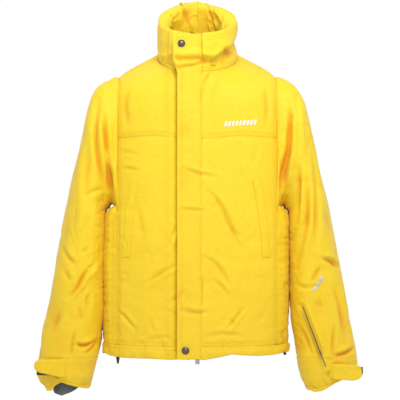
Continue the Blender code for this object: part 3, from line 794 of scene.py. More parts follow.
def crumple(points, size, seed, sharp=0.10):
    """Thin random creases: the lines where a slow noise passes through nothing."""
    points = np.asarray(points)
    bent = points + size * 0.5 * noise(points, size * 0.8, seed + 2)[..., None]
    lines = bump(noise(bent, size, seed), sharp)
    return -lines * smooth((noise(points, size * 1.1, seed + 1) - 0.02) / 0.45)


def body_relief(points, normal):
    """How far the body's cloth stands out from its plain surface, in metres."""
    x, z = points[..., 0], points[..., 2]
    front = smooth((-normal[..., 1] - 0.05) / 0.5)
    back = smooth((normal[..., 1] - 0.05) / 0.5)
    height = 1.25 * front * folds(points, BODY_FOLDS) + back * folds(points, BACK_FOLDS)
    low = smooth((-0.17 - z) / 0.25)
    height += (0.0006 + 0.0016 * low) * noise(points, 0.070, 11)
    height += (0.0002 + 0.0007 * low) * noise(points * (1, 1, 1.5), 0.026, 12)
    height += (0.0004 + 0.0015 * low) * crumple(points, 0.034, 13)
    flank = smooth((np.abs(x) - 0.150) / 0.030) * smooth((-0.30 - z) / 0.06)
    waves = np.sin(z / 0.0026 + 4.0 * noise(points, 0.030, 14))
    height += flank * (0.0009 * waves * (0.4 + 0.6 * noise(points, 0.020, 15) ** 2)
                       + 0.0022 * crumple(points * (1, 1, 2.2), 0.030, 16, 0.16))
    hem = smooth((-0.585 - z) / 0.040)
    height += hem * (0.0012 * noise(points * (1.6, 1.0, 0.6), 0.017, 17)
                     + 0.0026 * crumple(points * (1.5, 1, 1), 0.026, 18, 0.15))
    # The flanks bear against the sleeves
    swell = smooth((-0.330 - z) / 0.018) * smooth((np.abs(normal[..., 0]) - 0.30) / 0.6)
    height += swell * np.where(x < 0, 0.0085, 0.0030)
    # The shell billows a little over its padding between the seams
    height += 0.0028 * front * bump(z + 0.42, 0.20) * bump(np.abs(x) - 0.095, 0.070)
    return height


def sleeve_relief(points, normal, side, t):
    front = smooth((-normal[..., 1] - 0.05) / 0.5)
    back = smooth((normal[..., 1] - 0.05) / 0.5)
    table = LEFT_SLEEVE_FOLDS if side > 0 else RIGHT_SLEEVE_FOLDS
    height = 1.35 * front * folds(points, table) + back * folds(points, SLEEVE_BACK_FOLDS, side)
    seed = 30 if side > 0 else 50
    upper = 1.0 - smooth((t - 6.5) / 2.0)
    stretched = points * (1.5, 1.5, 0.42)
    height += upper * (0.0022 * noise(stretched, 0.034, seed) + 0.0016 * crumple(stretched, 0.040, seed + 1))
    wide = 0.0030 * noise(points, 0.058, seed + 2) + 0.0009 * noise(points, 0.022, seed + 3)
    height += (1.0 - 0.55 * upper) * wide
    height += (1.0 - 0.6 * upper) * 0.0036 * crumple(points * (1, 1, 1.3), 0.036, seed + 4, 0.12)
    under = smooth((np.abs(normal[..., 0]) - 0.55) / 0.3) * (np.sign(normal[..., 0]) * side < 0)
    z = points[..., 2]
    inside = smooth((-np.sign(side) * normal[..., 0] - 0.2) / 0.5)
    arch = smooth((-normal[..., 2] - 0.05) / 0.5) * bump(z + 0.330, 0.022)
    height += 0.0085 * arch * smooth((t - 0.2) / 0.8) + inside * (0.0050 * bump(z + 0.350, 0.028)
                        + (0.0038 if side < 0 else 0.0046) * smooth((-0.35 - z) / 0.04) * smooth((z + 0.62) / 0.07))
    height += under * 0.0020 * crumple(points * (1, 1, 2.0), 0.030, seed + 5, 0.15)
    return height


def seam_dip(share, length, depth=0.0010, width=0.0020, puff=0.0009):
    """A seam at each end of a run: cloth pulled down into it, standing up again beside it."""
    d = np.minimum(share, 1.0 - share) * length
    return puff * (1 - bump(d, 0.009)) - depth * bump(d, width) - puff


# --- The body's panels -----------------------------------------------------------------------------

STEP = 0.0031
LEFT_EDGE_X = 0.0102


def yoke_seam_level(x):
    """The front yoke seam, a shallow arch on each side of the zip."""
    arch = np.interp(np.abs(x), (0.0, 0.03, 0.095, 0.176), (-0.184, -0.183, -0.175, -0.180))
    return chest_level(arch)


def front_edge(level, side=1):
    """Where a front ends: under the storm flap's sewn edge on the left, beside the zip on the right."""
    return angle_at(body, LEFT_EDGE_X if side > 0 else ZIP_EDGE_X + 0.0025, level)


def arm_front(level):
    return angle_at(body, ARMHOLE_X, level)


def arm_back(level):
    return angle_at(body, ARMHOLE_X, level, back=True)


def tip_level():
    """Where the shoulder line crosses the armhole seam."""
    low, high = 1.0, 2.0
    for _ in range(40):
        mid = (low + high) / 2
        low, high = (mid, high) if body(np.pi / 2, mid)[0] > ARMHOLE_X else (low, mid)
    return high


def placket(points, normal):
    """The left front rises to the storm flap's sewn edge; the right one puffs up beside its free edge."""
    x = points[..., 0]
    front = smooth((-normal[..., 1] - 0.5) / 0.3)
    rise = 0.0074 * smooth((0.050 - x) / 0.040) * (x > 0)
    ridge = 0.0042 * bump(x + 0.057, 0.010) - 0.0030 * bump(x + 0.0440, 0.0040) - 0.0010 * (x > -0.044) * (x < 0)
    return front * (rise + ridge)


def body_height(base, normal, level):
    calm = smooth(np.abs(np.abs(base[..., 0]) - ARMHOLE_X) / 0.014)
    calm = np.where(base[..., 2] < SIDE_TOP_Z - 0.01, np.maximum(calm, 0.55), calm)
    calm = calm * smooth((2.0 - level) / 0.10)
    return body_relief(base, normal) * calm + placket(base, normal) * smooth((2.0 - level) / 0.02 + 0.5)


def body_patch(angle, level, dip):
    """A sheet on the body, with its folds worked in."""
    base = body(angle, level)
    normal = normals(body, angle, np.minimum(level, 1.998))
    height = body_height(base, normal, level) + dip
    # The second value is the fold depth, the mask for painted shade in the folds.
    return Sheet(base + normal * height[..., None]), np.clip(-height / 0.0045, 0, 1)


def grid_of(first, last, level, s):
    a, b = first(level), last(level)
    return a + (b - a) * s[None, :]


def mirrored(angle, level):
    return -angle[:, ::-1], level[:, ::-1]


def make_front(side, hand):
    s = spaced(0.178, STEP, (False, True))

    def edge(level):
        return front_edge(level, side)

    x = BODY_HALF_WIDTH * np.sin(grid_of(edge, arm_front, np.full((1, 1), 0.5), s))
    r = spaced(0.450, STEP)[:, None]
    low, seam = chest_level(HEM_BAND_TOP_Z), yoke_seam_level(x)
    level = low + (seam - low) * r
    angle = grid_of(edge, arm_front, level, s)
    dip = seam_dip(r, 0.450) + np.where(s > 0.5, seam_dip(s, 0.178), 0.0)[None, :]
    upper = spaced(0.062, STEP, (True, False))[:-1, None]
    over = np.linspace(0.0, 0.999, 66)[:, None]
    yoke = np.concatenate((seam + (1.0 - seam) * upper, 1.0 + over + 0 * x))
    yoke_angle = grid_of(edge, arm_front, yoke, s)
    gone = np.concatenate((0.062 * upper[:, 0], 0.062 + 0.20 * over[:, 0]))[:, None]
    yoke_dip = seam_dip(gone / 0.262, 0.262) + np.where(s > 0.5, seam_dip(s, 0.178), 0.0)[None, :]
    made = []
    for name, a, l, d in ((f"front_panel_{hand}", angle, level, dip),
                          (f"front_yoke_{hand}", yoke_angle, yoke, yoke_dip)):
        l, d = l + 0 * a, d + 0 * a
        if side < 0:
            a, l = mirrored(a, l)
            d = d[:, ::-1]
        sheet, fold_shade = body_patch(a, l, d)
        zip_side = (True, False) if side > 0 else (False, True)
        whole = rolled_sides(sheet, 0.0025, zip_side, math.pi * 0.75, 6)
        whole, fold_shade = tucked(whole, np.pad(fold_shade, ((0, 0), (6, 0) if side > 0 else (0, 6))),
                             top="yoke" in name, sides=zip_side[::-1])
        obj = cloth_mesh(f"{name}_shell", whole, SHELL, fold_shade)
        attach(obj, "jacket")
        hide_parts(name)
        made.append(sheet)
    return made


def tucked(sheet, fold_shade, top=False, bottom=False, sides=(False, False), radius=0.0019):
    """Turns seam edges in towards the inside, so that the next piece's edge meets them."""
    if top:
        sheet = rolled_top(sheet, radius, math.pi / 2, 3)
    if bottom:
        sheet = rolled_bottom(sheet, radius, math.pi / 2, 3)
    sheet = rolled_sides(sheet, radius, sides, math.pi / 2, 3) if any(sides) else sheet
    return sheet, np.pad(fold_shade, ((3 * bottom, 3 * top), (3 * sides[0], 3 * sides[1])))


def make_side(side, hand):
    s = spaced(0.150, STEP)
    level = np.linspace(0, 1, 98)[:, None] * (chest_level(SIDE_TOP_Z) - chest_level(HEM_BAND_TOP_Z))
    level = level + chest_level(HEM_BAND_TOP_Z)
    angle = grid_of(arm_front, arm_back, level, s)
    level = level + 0 * angle
    if side < 0:
        angle, level = 2 * np.pi - angle[:, ::-1], level[:, ::-1]
    share = (level - level.min()) / (level.max() - level.min())
    dip = seam_dip(s, 0.150)[None, :] + np.where(share < 0.5, seam_dip(share, 0.30), 0.0)
    sheet, fold_shade = body_patch(angle, level, dip * smooth((1 - share) / 0.06))
    z = HEM_Z + (CHEST_Z - HEM_Z) * level
    pull = np.clip((z - (SIDE_TOP_Z - 0.034)) / 0.034, 0, 1) ** 2
    x = sheet.points[..., 0]
    beyond = smooth((np.abs(x) - ARMHOLE_X - 0.001) / 0.018)
    sheet.points[..., 0] += (np.sign(x) * ARMHOLE_X - x) * pull * (np.abs(x) > ARMHOLE_X)
    sheet.points[..., 2] += 0.0120 * beyond * smooth((z - (SIDE_TOP_Z - 0.050)) / 0.040)
    whole, fold_shade = tucked(sheet, fold_shade, sides=(True, True))
    obj = cloth_mesh(f"side_panel_{hand}_shell", whole, SHELL, fold_shade)
    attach(obj, "jacket")
    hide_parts(f"side_panel_{hand}")
    return sheet


def make_back():
    seam = chest_level(-0.172)
    s = spaced(0.390, STEP)
    low = chest_level(HEM_BAND_TOP_Z)
    r = spaced(0.460, STEP)[:, None]
    level = low + (seam - low) * r

    def last(level):
        return 2 * np.pi - arm_back(level)

    upper = spaced(0.052, STEP, (True, False))[:-1, None]
    over = np.linspace(0.0, 0.999, 62)[:, None]
    yoke = np.concatenate((seam + (1.0 - seam) * upper, 1.0 + over))
    gone = np.concatenate((0.052 * upper[:, 0], 0.052 + 0.19 * over[:, 0]))[:, None]
    made = []
    for name, l, d in (("back_panel", level, seam_dip(r, 0.460)),
                       ("back_yoke", yoke, seam_dip(gone / 0.242, 0.242))):
        angle = grid_of(arm_back, last, l, s)
        sheet, fold_shade = body_patch(angle, l + 0 * angle, d + seam_dip(s, 0.390)[None, :])
        whole, fold_shade = tucked(sheet, fold_shade, top=name == "back_yoke", sides=(True, True))
        obj = cloth_mesh(f"{name}_shell", whole, SHELL, fold_shade)
        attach(obj, "jacket")
        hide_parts(name)
        made.append(sheet)
    return made


def hem_low(x, front):
    """The height of the hem's edge, which the drawcord gathers unevenly."""
    seen = np.interp(x, (-0.2035, -0.177, -0.10, 0.006, 0.038, 0.074, 0.100, 0.135, 0.193, 0.2035),
                     (-0.6515, -0.6565, -0.6558, -0.6575, -0.6535, -0.6460, -0.6480, -0.6508, -0.6500, -0.6500))
    behind = -0.6510 + 0.0025 * np.sin(x * 45.0)
    return np.where(front, seen, behind + (seen - behind) * smooth((np.abs(x) - 0.17) / 0.033))


def make_hem():
    level_top = chest_level(HEM_BAND_TOP_Z)
    angle = np.linspace(front_edge(np.array(0.02)), 2 * np.pi - front_edge(np.array(0.02), -1), 356)[None, :]
    r = spaced(0.026, 0.0024, (False, True))[:, None]
    base_x = BODY_HALF_WIDTH * np.sin(angle)
    low = chest_level(hem_low(base_x, np.cos(angle) > 0))
    level = low + (level_top - low) * r
    angle = angle + 0 * level
    gathers = np.stack((angle * 0.20, 0 * angle, 0.4 * (level * 0.5)), axis=-1)
    swell = np.sin(np.pi * np.clip(r * 0.93 + 0.05, 0, 1)) ** 0.7
    height = swell * (0.0016 + 0.0016 * noise(gathers, 0.011, 71) + 0.0014 * crumple(gathers, 0.016, 72, 0.2))
    height = height + np.where(r > 0.5, seam_dip(r, 0.026), 0.0)
    base = body(angle, level)
    normal = normals(body, angle, level)
    height = height + body_height(base, normal, level)
    sheet = Sheet(base + normal * height[..., None])
    whole = rolled_bottom(sheet, 0.0026, math.pi, 6)
    whole = rolled_sides(whole, 0.0020, (True, True), math.pi * 0.6, 4)
    obj = cloth_mesh("hem_band_shell", whole, SHELL)
    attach(obj, "jacket")
    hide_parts("hem_band")
    inner = level[:, ::3] * 1.0
    inside = body(angle[:, ::3], inner) - normals(body, angle[:, ::3], inner) * 0.0060
    inside += normals(body, angle[:, ::3], inner) * 0.0008 * noise(inside, 0.012, 73)[..., None]
    facing = cloth_mesh("hem_facing_inside", Sheet(inside), LINING, flip=True)
    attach(facing, "jacket")
    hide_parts("hem_facing")
    return sheet


# --- Collar ------------------------------------------------------------------------------------------

COLLAR_FOLDS = (
    (((-0.075, -0.004), (-0.044, -0.009), (0.000, -0.009), (0.032, -0.013), (0.052, 0.004), (0.074, 0.028)),
     0.0052, 0.0072),
    (((-0.050, -0.036), (-0.034, -0.027), (-0.010, -0.023), (0.012, -0.017), (0.030, -0.021)), 0.0038, 0.0056),
    (((0.026, -0.021), (0.038, -0.025), (0.050, -0.018)), 0.0032, 0.0062),
    (((0.016, -0.066), (0.022, -0.050), (0.030, -0.036)), 0.0040, 0.0036),
    (((-0.066, -0.012), (-0.052, -0.024), (-0.046, -0.036)), 0.0045, 0.0050),
    (((-0.060, 0.036), (-0.064, 0.010), (-0.058, -0.008)), 0.0050, 0.0034),
    (((0.048, 0.014), (0.062, 0.016), (0.078, 0.010)), 0.0048, 0.0030),
    (((-0.026, -0.016), (-0.006, -0.013)), 0.0030, 0.0022),
    (((-0.040, -0.014), (-0.030, -0.019)), 0.0028, 0.0022),
)
BODY_FOLDS = BODY_FOLDS + COLLAR_FOLDS


def collar_height(base, normal, level):
    front = smooth((-normal[..., 1] - 0.05) / 0.5)
    x, z = base[..., 0], base[..., 2]
    height = 1.7 * front * folds(base, COLLAR_FOLDS)
    # The padded wall sags over its lower half, most on the wearer's left
    a, b = np.array((0.0747, 0.0265)), np.array((0.0300, -0.0150))
    along = (b - a) / np.linalg.norm(b - a)
    above = (x - a[0]) * -along[1] + (z - a[1]) * along[0]
    run = (x - a[0]) * along[0] + (z - a[1]) * along[1]
    here = smooth((run + 0.024) / 0.030) * smooth((0.070 - run) / 0.024)
    height += front * here * (0.0046 * smooth((0.006 - above) / 0.014) * bump(above + 0.004, 0.030)
                              - 0.0080 * bump(above - 0.0105, 0.0105))
    height += 0.0034 * np.sin(np.pi * np.clip(level, 0, 1)) ** 0.8
    height += 0.0030 * front * bump(level - 0.72, 0.26) * bump(x, 0.075)
    height += 0.0014 * noise(base, 0.034, 81) + 0.0008 * noise(base, 0.013, 82)
    height += 0.0020 * crumple(base, 0.030, 83, 0.12)
    gathered = smooth((-0.004 - z) / 0.008) * front * bump(x, 0.070)
    height += gathered * (0.0034 * noise(base * (1.0, 1.0, 1.5), 0.010, 84) - 0.0026)
    low = smooth(level / 0.16)
    return height * (0.25 + 0.75 * low) + placket(base, normal)


def collar_depth(angle):
    """How far in the padded collar's lining stands: full at the sides and back, thin in front."""
    away = smooth((0.80 - np.cos(angle)) / 0.75)
    return 0.0078 + away * np.where(np.sin(angle) > 0, 0.0215, 0.0165)


def make_collar():
    def first(level):
        return angle_at(collar, LEFT_EDGE_X + 0.0020, level)

    def last(level):
        return 2 * np.pi - angle_at(collar, ZIP_EDGE_X + 0.0045, level)

    s = np.linspace(0, 1, 212)
    level = spaced(0.094, 0.0024, (True, False))[:, None]
    angle = grid_of(first, last, level, s)
    level = level + 0 * angle
    base, normal = collar(angle, level), normals(collar, angle, level)
    height = collar_height(base, normal, level)
    height += np.where(level < 0.5, seam_dip(level, 0.094), 0.0)
    points = base + normal * height[..., None]
    points[..., 2] += slump_like(angle) * smooth((level - 0.4) / 0.6)
    sheet = Sheet(points)
    # The rim: a soft roll as wide as the padding
    top, n = points[-1], sheet.normals()[-1]
    out = unit(points[-1] - points[-2])
    wide = (collar_depth(angle[-1]) / 2)[:, None]
    ruffle = 0.0022 * noise(top * (1, 1, 0), 0.022, 88)[:, None]
    rim = [top + out * (0.0062 + ruffle * t) * math.sin(a) - n * wide * (1 - math.cos(a))
           for t, a in zip(np.linspace(0, 1, 13)[1:], np.linspace(0, math.pi, 13)[1:])]
    whole = Sheet(np.concatenate((points, rim)))
    whole = rolled_bottom(whole, 0.0030, math.pi / 2, 3)
    whole = rolled_sides(whole, 0.0040, (True, True), math.pi * 0.6, 5)
    fold_shade = np.pad(np.clip(-height / 0.006, 0, 1), ((3, 12), (5, 5)))
    obj = cloth_mesh("collar_outer", whole, SHELL, fold_shade)
    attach(obj, "jacket")
    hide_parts("collar_shell")

    inner_level = np.linspace(1.0, 0.0, 42)[:, None]
    inner_angle = grid_of(first, last, inner_level, s)
    inner_level = inner_level + 0 * inner_angle
    inner = collar(inner_angle, inner_level)
    towards = normals(collar, inner_angle, inner_level)
    full = collar_depth(inner_angle)
    away = smooth((0.80 - np.cos(inner_angle)) / 0.75)
    # Below the rim the lining bellies in against the neck, then falls back to the neck seam
    share = np.interp(inner_level, (0.0, 0.25, 0.60, 0.85, 1.0), (0.30, 0.55, 0.95, 1.16, 1.0))
    depth = full * share - height[-1][None, :] * smooth((inner_level - 0.8) / 0.2) * 0.0
    loose = np.sin(np.pi * np.clip(inner_level, 0, 1)) ** 0.5
    depth = depth + away * loose * (0.0036 * noise(inner, 0.026, 86) + 0.0016 * noise(inner, 0.011, 89))
    depth = depth - away * loose * 0.0040 * crumple(inner * (1, 1, 1.4), 0.026, 87, 0.16)
    for at in (1.55, 2.55, 3.45, 4.05, 4.70):
        depth = depth - away * loose * 0.0060 * bump(inner_angle - at - 0.5 * (inner_level - 0.5), 0.060)
    inner = inner - towards * np.maximum(depth, 0.0030)[..., None]
    inner[..., 2] += slump_like(inner_angle) * smooth((inner_level - 0.4) / 0.6)
    inner[0] = rim[-1]
    inner[1] = inner[1] * 0.5 + inner[0] * 0.5 + (0.0, 0.0, -0.0008)
    lining = cloth_mesh("collar_inner", Sheet(inner), SHELL,
                        np.clip((full * share - depth) / 0.006, 0, 1))
    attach(lining, "jacket")
    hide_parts("collar_lining")
    return sheet


def slump_like(angle):
    """How far the rim stands above or sags below its plain line."""
    wander = 0.0035 * noise(np.stack((angle * 0.1, 0 * angle, 0 * angle), axis=-1), 0.09, 85)
    return wander * smooth((1 - np.cos(angle)) / 0.3) - 0.0030


# --- Lining of the body ------------------------------------------------------------------------------


def make_linings():
    low = chest_level(HEM_BAND_TOP_Z)
    level = np.concatenate((np.linspace(low, 1.0, 60), np.linspace(1.0, 1.985, 26)[1:]))[:, None]

    def first(level):
        return angle_at(body, ZIP_EDGE_X + 0.002, level)

    def last(level):
        return 2 * np.pi - arm_back(level)

    for name, a, b, count, side in (("front_lining_left", first, arm_front, 34, 1),
                                    ("front_lining_right", first, arm_front, 34, -1),
                                    ("back_lining", arm_back, last, 72, 1)):
        angle = grid_of(a, b, level, np.linspace(0, 1, count))
        at = level + 0 * angle
        if side < 0:
            angle, at = mirrored(angle, at)
        base = body(angle, at)
        normal = normals(body, angle, np.minimum(at, 1.985))
        depth = 0.0066 + 0.0008 * noise(base, 0.030, 91) - 0.0006 * crumple(base, 0.028, 92, 0.15)
        obj = cloth_mesh(f"{name}_taffeta", Sheet(base - normal * depth[..., None]), LINING,
                         flip=True)
        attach(obj, "jacket")
        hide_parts(name)
    for side, hand in HANDS:
        at = np.linspace(low, chest_level(SIDE_TOP_Z), 40)[:, None]
        angle = grid_of(arm_front, arm_back, at, np.linspace(0, 1, 36))
        at = at + 0 * angle
        if side < 0:
            angle, at = 2 * np.pi - angle[:, ::-1], at[:, ::-1]
        base = body(angle, at)
        inside = base - normals(body, angle, at) * 0.0066
        pull = smooth((base[..., 2] - (SIDE_TOP_Z - 0.060)) / 0.060)
        x = inside[..., 0]
        inside[..., 0] += (np.sign(x) * (ARMHOLE_X - 0.005) - x) * pull * (np.abs(x) > ARMHOLE_X - 0.005)
        obj = cloth_mesh(f"side_lining_{hand}", Sheet(inside), LINING, flip=True)
        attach(obj, "jacket")


# --- Sleeves -------------------------------------------------------------------------------------------


def armhole_loop():
    """The body's armhole on the left, as shares 0 to 1 of its front and back halves, top to bottom."""
    tip = tip_level()
    levels = np.concatenate((np.linspace(tip, 1.0, 40), np.linspace(1.0, chest_level(SIDE_TOP_Z), 60)[1:]))
    halves = []
    for edge in (arm_front, arm_back):
        a = edge(levels)
        down = body(a, levels)
        down[:, 0] = ARMHOLE_X
        end = a[-1]
        under = section(np.linspace(end, np.pi / 2, 20)[1:], SIDE_TOP_Z + np.zeros(19))
        under[:, 0] = ARMHOLE_X
        half = np.vstack((down, under))
        at = np.concatenate(([0.0], np.cumsum(np.linalg.norm(np.diff(half, axis=0), axis=1))))
        halves.append((at / at[-1], half))
    return halves


ARMHOLE = armhole_loop()


def ring_shares():
    """How far round a sleeve ring each angle is, from 0 at the outside to 1 at the inside."""
    angle = np.linspace(0, np.pi, 200)
    ring = sleeve(angle, np.ones(200))
    at = np.concatenate(([0.0], np.cumsum(np.linalg.norm(np.diff(ring, axis=0), axis=1))))
    return angle, at / at[-1]


RING = ring_shares()


def arm(angle, t):
    """The sleeve's surface, starting on the armhole seam."""
    angle, t = np.broadcast_arrays(np.asarray(angle, float), np.asarray(t, float))
    turned = np.mod(angle, 2 * np.pi)
    folded = np.where(turned <= np.pi, turned, 2 * np.pi - turned)
    share = np.interp(folded, *RING)
    loops = [np.stack([np.interp(share, at, half[:, k]) for k in range(3)], axis=-1) for at, half in ARMHOLE]
    seam = np.where((turned <= np.pi)[..., None], loops[0], loops[1])
    tube = sleeve(angle, np.maximum(t, 0.0))
    return seam + (tube - seam) * smooth(t / 1.8)[..., None]


STATION_LENGTHS = np.concatenate(([0.0], np.cumsum(np.linalg.norm(
    np.diff((STATIONS[:, 0:2] + STATIONS[:, 2:4]) / 2, axis=0), axis=1))))


def station_rows(start, end, step):
    a, b = (np.interp(v, np.arange(len(STATIONS)), STATION_LENGTHS) for v in (start, end))
    lengths = np.linspace(a, b, max(3, int((b - a) / step)))
    return np.interp(lengths, STATION_LENGTHS, np.arange(len(STATIONS)))


SLEEVE_COLUMNS = 150
CUFF_SEAM_Z = -0.663
SHOULDER_END, ELBOW_END = 5.3, 10.3


def make_sleeve(side, hand):
    t = np.unique(np.concatenate((np.linspace(0, 1.8, 30)[:-1], station_rows(1.8, CUFF_STATION, 0.0031))))
    angle = np.linspace(0, 2 * np.pi, SLEEVE_COLUMNS + 1)[:-1][None, :]
    rows = t[:, None] + 0 * angle
    base = arm(angle, rows)
    if side < 0:
        base = base[:, ::-1] * (-1, 1, 1)
    normal = Sheet(base, wrap=True).normals()
    settled = int(np.searchsorted(t, 0.4))
    normal[:settled] = normal[settled]
    height = sleeve_relief(base, normal, side, rows)
    height *= smooth(rows / 0.9)
    length = np.interp(rows, np.arange(len(STATIONS)), STATION_LENGTHS)
    seam = 0.0010 * (1 - bump(length, 0.009)) - 0.0012 * bump(length, 0.0022)
    seam -= 0.0016 * bump(base[..., 2] - CUFF_SEAM_Z, 0.0022) - 0.0009 * bump(base[..., 2] - CUFF_SEAM_Z, 0.009)
    height = height + seam
    # Nothing folds deeply close to the shoulder's crown
    height = np.where(height < 0, height * (0.25 + 0.75 * smooth((-0.085 - base[..., 2]) / 0.07)), height)
    if side > 0:
        height += sleeve_placket(base, normal)
    sheet = Sheet(base + normal * height[..., None], wrap=True)
    fold_shade = np.clip(-height / 0.0060, 0, 1)
    i1, i2 = int(np.searchsorted(t, SHOULDER_END)), int(np.searchsorted(t, ELBOW_END))
    # The lining keeps clear of the shell's folds
    depth = 0.0070 + 0.0008 * noise(base, 0.03, 95) + np.maximum(-height, 0.0)
    lining = base - normal * depth[..., None]
    lining_sheet = Sheet(lining[:, ::2], wrap=True)
    for name, i, j, bodies in (("shoulder", 0, i1 + 1, ("jacket", f"upper_sleeve_{hand}")),
                               ("elbow", i1, i2 + 1, (f"upper_sleeve_{hand}", f"forearm_{hand}")),
                               ("forearm", i2, len(t), None)):
        shell, depth = sheet.part((i, j)), fold_shade[i:j]
        if name == "shoulder":
            start, up = shell.points[0], shell.normals()[8]
            tuck = [start + np.array((-side * 0.0042 * math.sin(a), 0, 0)) - up * 0.0040 * (1 - math.cos(a))
                    for a in (1.57, 1.05, 0.52)]
            shell = Sheet(np.concatenate((tuck, shell.points)), wrap=True)
            depth = np.pad(depth, ((3, 0), (0, 0)))
        obj = cloth_mesh(f"{name}_cloth_{hand}", shell, SHELL, depth)
        inside = cloth_mesh(f"{name}_lining_{hand}", lining_sheet.part((i, j)), LINING,
                            flip=True)
        for piece in (obj, inside):
            if name == "shoulder":
                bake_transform(piece)
            elif name == "elbow":
                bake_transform(piece)
            else:
                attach(piece, f"forearm_{hand}")
        if name == "shoulder":
            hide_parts(f"sleeve_lining_{hand}")
        if name == "elbow":
            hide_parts(f"upper_sleeve_{hand}")
        if name == "forearm":
            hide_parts(f"forearm_sleeve_{hand}")


def sleeve_placket(base, normal):
    """A shallow channel where the sleeve pocket's zip is sewn in."""
    a, b = np.array((0.2300, -0.547)), np.array((0.2710, -0.655))
    p = base[..., (0, 2)] - a
    t = np.clip((p @ (b - a)) / ((b - a) @ (b - a)), 0, 1)
    d = np.linalg.norm(p - t[..., None] * (b - a), axis=-1)
    front = smooth((-normal[..., 1] - 0.1) / 0.3)
    return front * (0.0012 * bump(d - 0.0085, 0.004) - 0.0022 * bump(d, 0.0045))


def sleeve_sheet(t, side, columns=SLEEVE_COLUMNS):
    angle = np.linspace(0, 2 * np.pi, columns + 1)[:-1][None, :]
    rows = np.asarray(t)[:, None] + 0 * angle
    base, normal = arm(angle, rows), normals(arm, angle, rows)
    if side < 0:
        base, normal = base[:, ::-1] * (-1, 1, 1), normal[:, ::-1] * (-1, 1, 1)
    return base, normal


def cuff_edge(side, x):
    """Where each cuff's opening ends in front: the straps pull its outer side up."""
    if side > 0:
        return np.interp(x, (0.250, 0.2575, 0.275, 0.3055, 0.345, 0.358),
                         (-0.7340, -0.7365, -0.7330, -0.7150, -0.7030, -0.7000))
    return np.interp(x, (0.244, 0.2575, 0.270, 0.300, 0.314, 0.323, 0.331, 0.341, 0.352),
                     (-0.7310, -0.7275, -0.7235, -0.7150, -0.7215, -0.7335, -0.7345, -0.7245, -0.7175))


def make_cuff(side, hand):
    """Continues the forearm's cloth to the opening, gathered where the strap draws it in."""
    t = np.concatenate((np.linspace(CUFF_STATION, CUFF_STATION + 0.10, 4),
                        np.linspace(CUFF_STATION + 0.16, 13.97, 18)))
    base, normal = sleeve_sheet(t, side)
    x = side * base[..., 0]
    front = smooth((-normal[..., 1] + 0.3) / 0.8)
    top, low = base[:1, :, 2], base[-1:, :, 2]
    behind = cuff_edge(side, x[-1:]) + (0.0045 if side > 0 else -0.0005)
    edge = cuff_edge(side, x[-1:]) * front[-1:] + behind * (1 - front[-1:])
    r = (base[..., 2] - top) / (low - top)
    base[..., 2] = top + (edge - top) * r
    around = np.stack((base[..., 0], base[..., 1], base[..., 2] * 0.30), axis=-1)
    gather = smooth((x - (0.300 if side > 0 else 0.288)) / 0.02) * (0.5 if side > 0 else 1.0)
    height = sleeve_relief(base, normal, side, t[:, None] + 0 * x) * (1 - 0.6 * r)
    height = height + 0.0010
    bunched = 0.0026 * noise(around, 0.0100, 101) + 0.0030 * crumple(around, 0.013, 102, 0.25)
    height += gather * smooth(r / 0.3) * bunched
    height += smooth(r / 0.3) * (0.0016 * noise(base, 0.018, 103) - 0.0010 * bump(r - 0.80, 0.05))
    height[0] = sleeve_relief(base[:1], normal[:1], side, t[:1, None] + 0 * x[:1])[0] + 0.0010
    if side > 0:
        height += sleeve_placket(base, normal)
    sheet = Sheet(base + normal * height[..., None], wrap=True)
    whole = rolled_top(sheet, 0.0024, math.pi, 6)
    obj = cloth_mesh(f"cuff_cloth_{hand}", whole, SHELL,
                     np.pad(np.clip(-height / 0.005, 0, 1), ((0, 6), (0, 0))))
    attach(obj, f"forearm_{hand}")
    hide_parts(f"cuff_{hand}")
    # The dark facing inside the cuff
    inner = sheet.points - sheet.normals() * 0.0046
    facing = cloth_mesh(f"cuff_facing_{hand}", Sheet(inner[:, ::2], wrap=True), FACING, flip=True)
    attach(facing, f"forearm_{hand}")
    return sheet


def make_gaiter(side, hand):
    """The knitted inner cuff: ribs run down it, and its end is turned in."""
    columns, rows = 208, 26
    angle = np.linspace(0, 2 * np.pi, columns + 1)[:-1][None, :]
    r = np.linspace(0, 1, rows)[:, None]
    out_x, in_x = ((0.3380, 0.3200), (0.2480, 0.2560)) if side < 0 else ((0.3380, 0.3300), (0.2480, 0.2600))
    outer = out_x[0] + (out_x[1] - out_x[0]) * r
    inner = in_x[0] + (in_x[1] - in_x[0]) * r
    depth = 0.036 - 0.005 * r
    c, n = np.cos(angle), np.sin(angle)
    x = (outer + inner) / 2 + (outer - inner) / 2 * c
    if side > 0:
        low = cuff_edge(side, x[-1:]) + 0.0050
    else:
        low = np.interp(x[-1:], (0.2560, 0.2640, 0.2790, 0.3010, 0.3160, 0.3200),
                        (-0.7270, -0.7300, -0.7375, -0.7462, -0.7420, -0.7370))
    z = -0.6950 + (low + 0.6950) * r
    points = np.stack((side * x, -0.024 - depth * n, z + 0 * x), axis=-1)
    if side < 0:
        points = points[:, ::-1]
    sheet = Sheet(points, wrap=True)
    ribs = 0.0008 * np.sin(np.arange(columns) * 2 * np.pi / 4.0)[None, :]
    slack = -0.0020 * np.sin(np.pi * r) + 0.0030 * noise(points, 0.022, 111) + 0.0020 * crumple(points, 0.022, 112, 0.2)
    sheet.points += sheet.normals() * (ribs + slack)[..., None]
    whole = rolled_top(sheet, 0.0016, math.pi, 5)
    obj = cloth_mesh(f"wrist_rib_{hand}", whole, KNIT)
    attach(obj, f"forearm_{hand}")
    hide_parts(f"wrist_gaiter_{hand}")


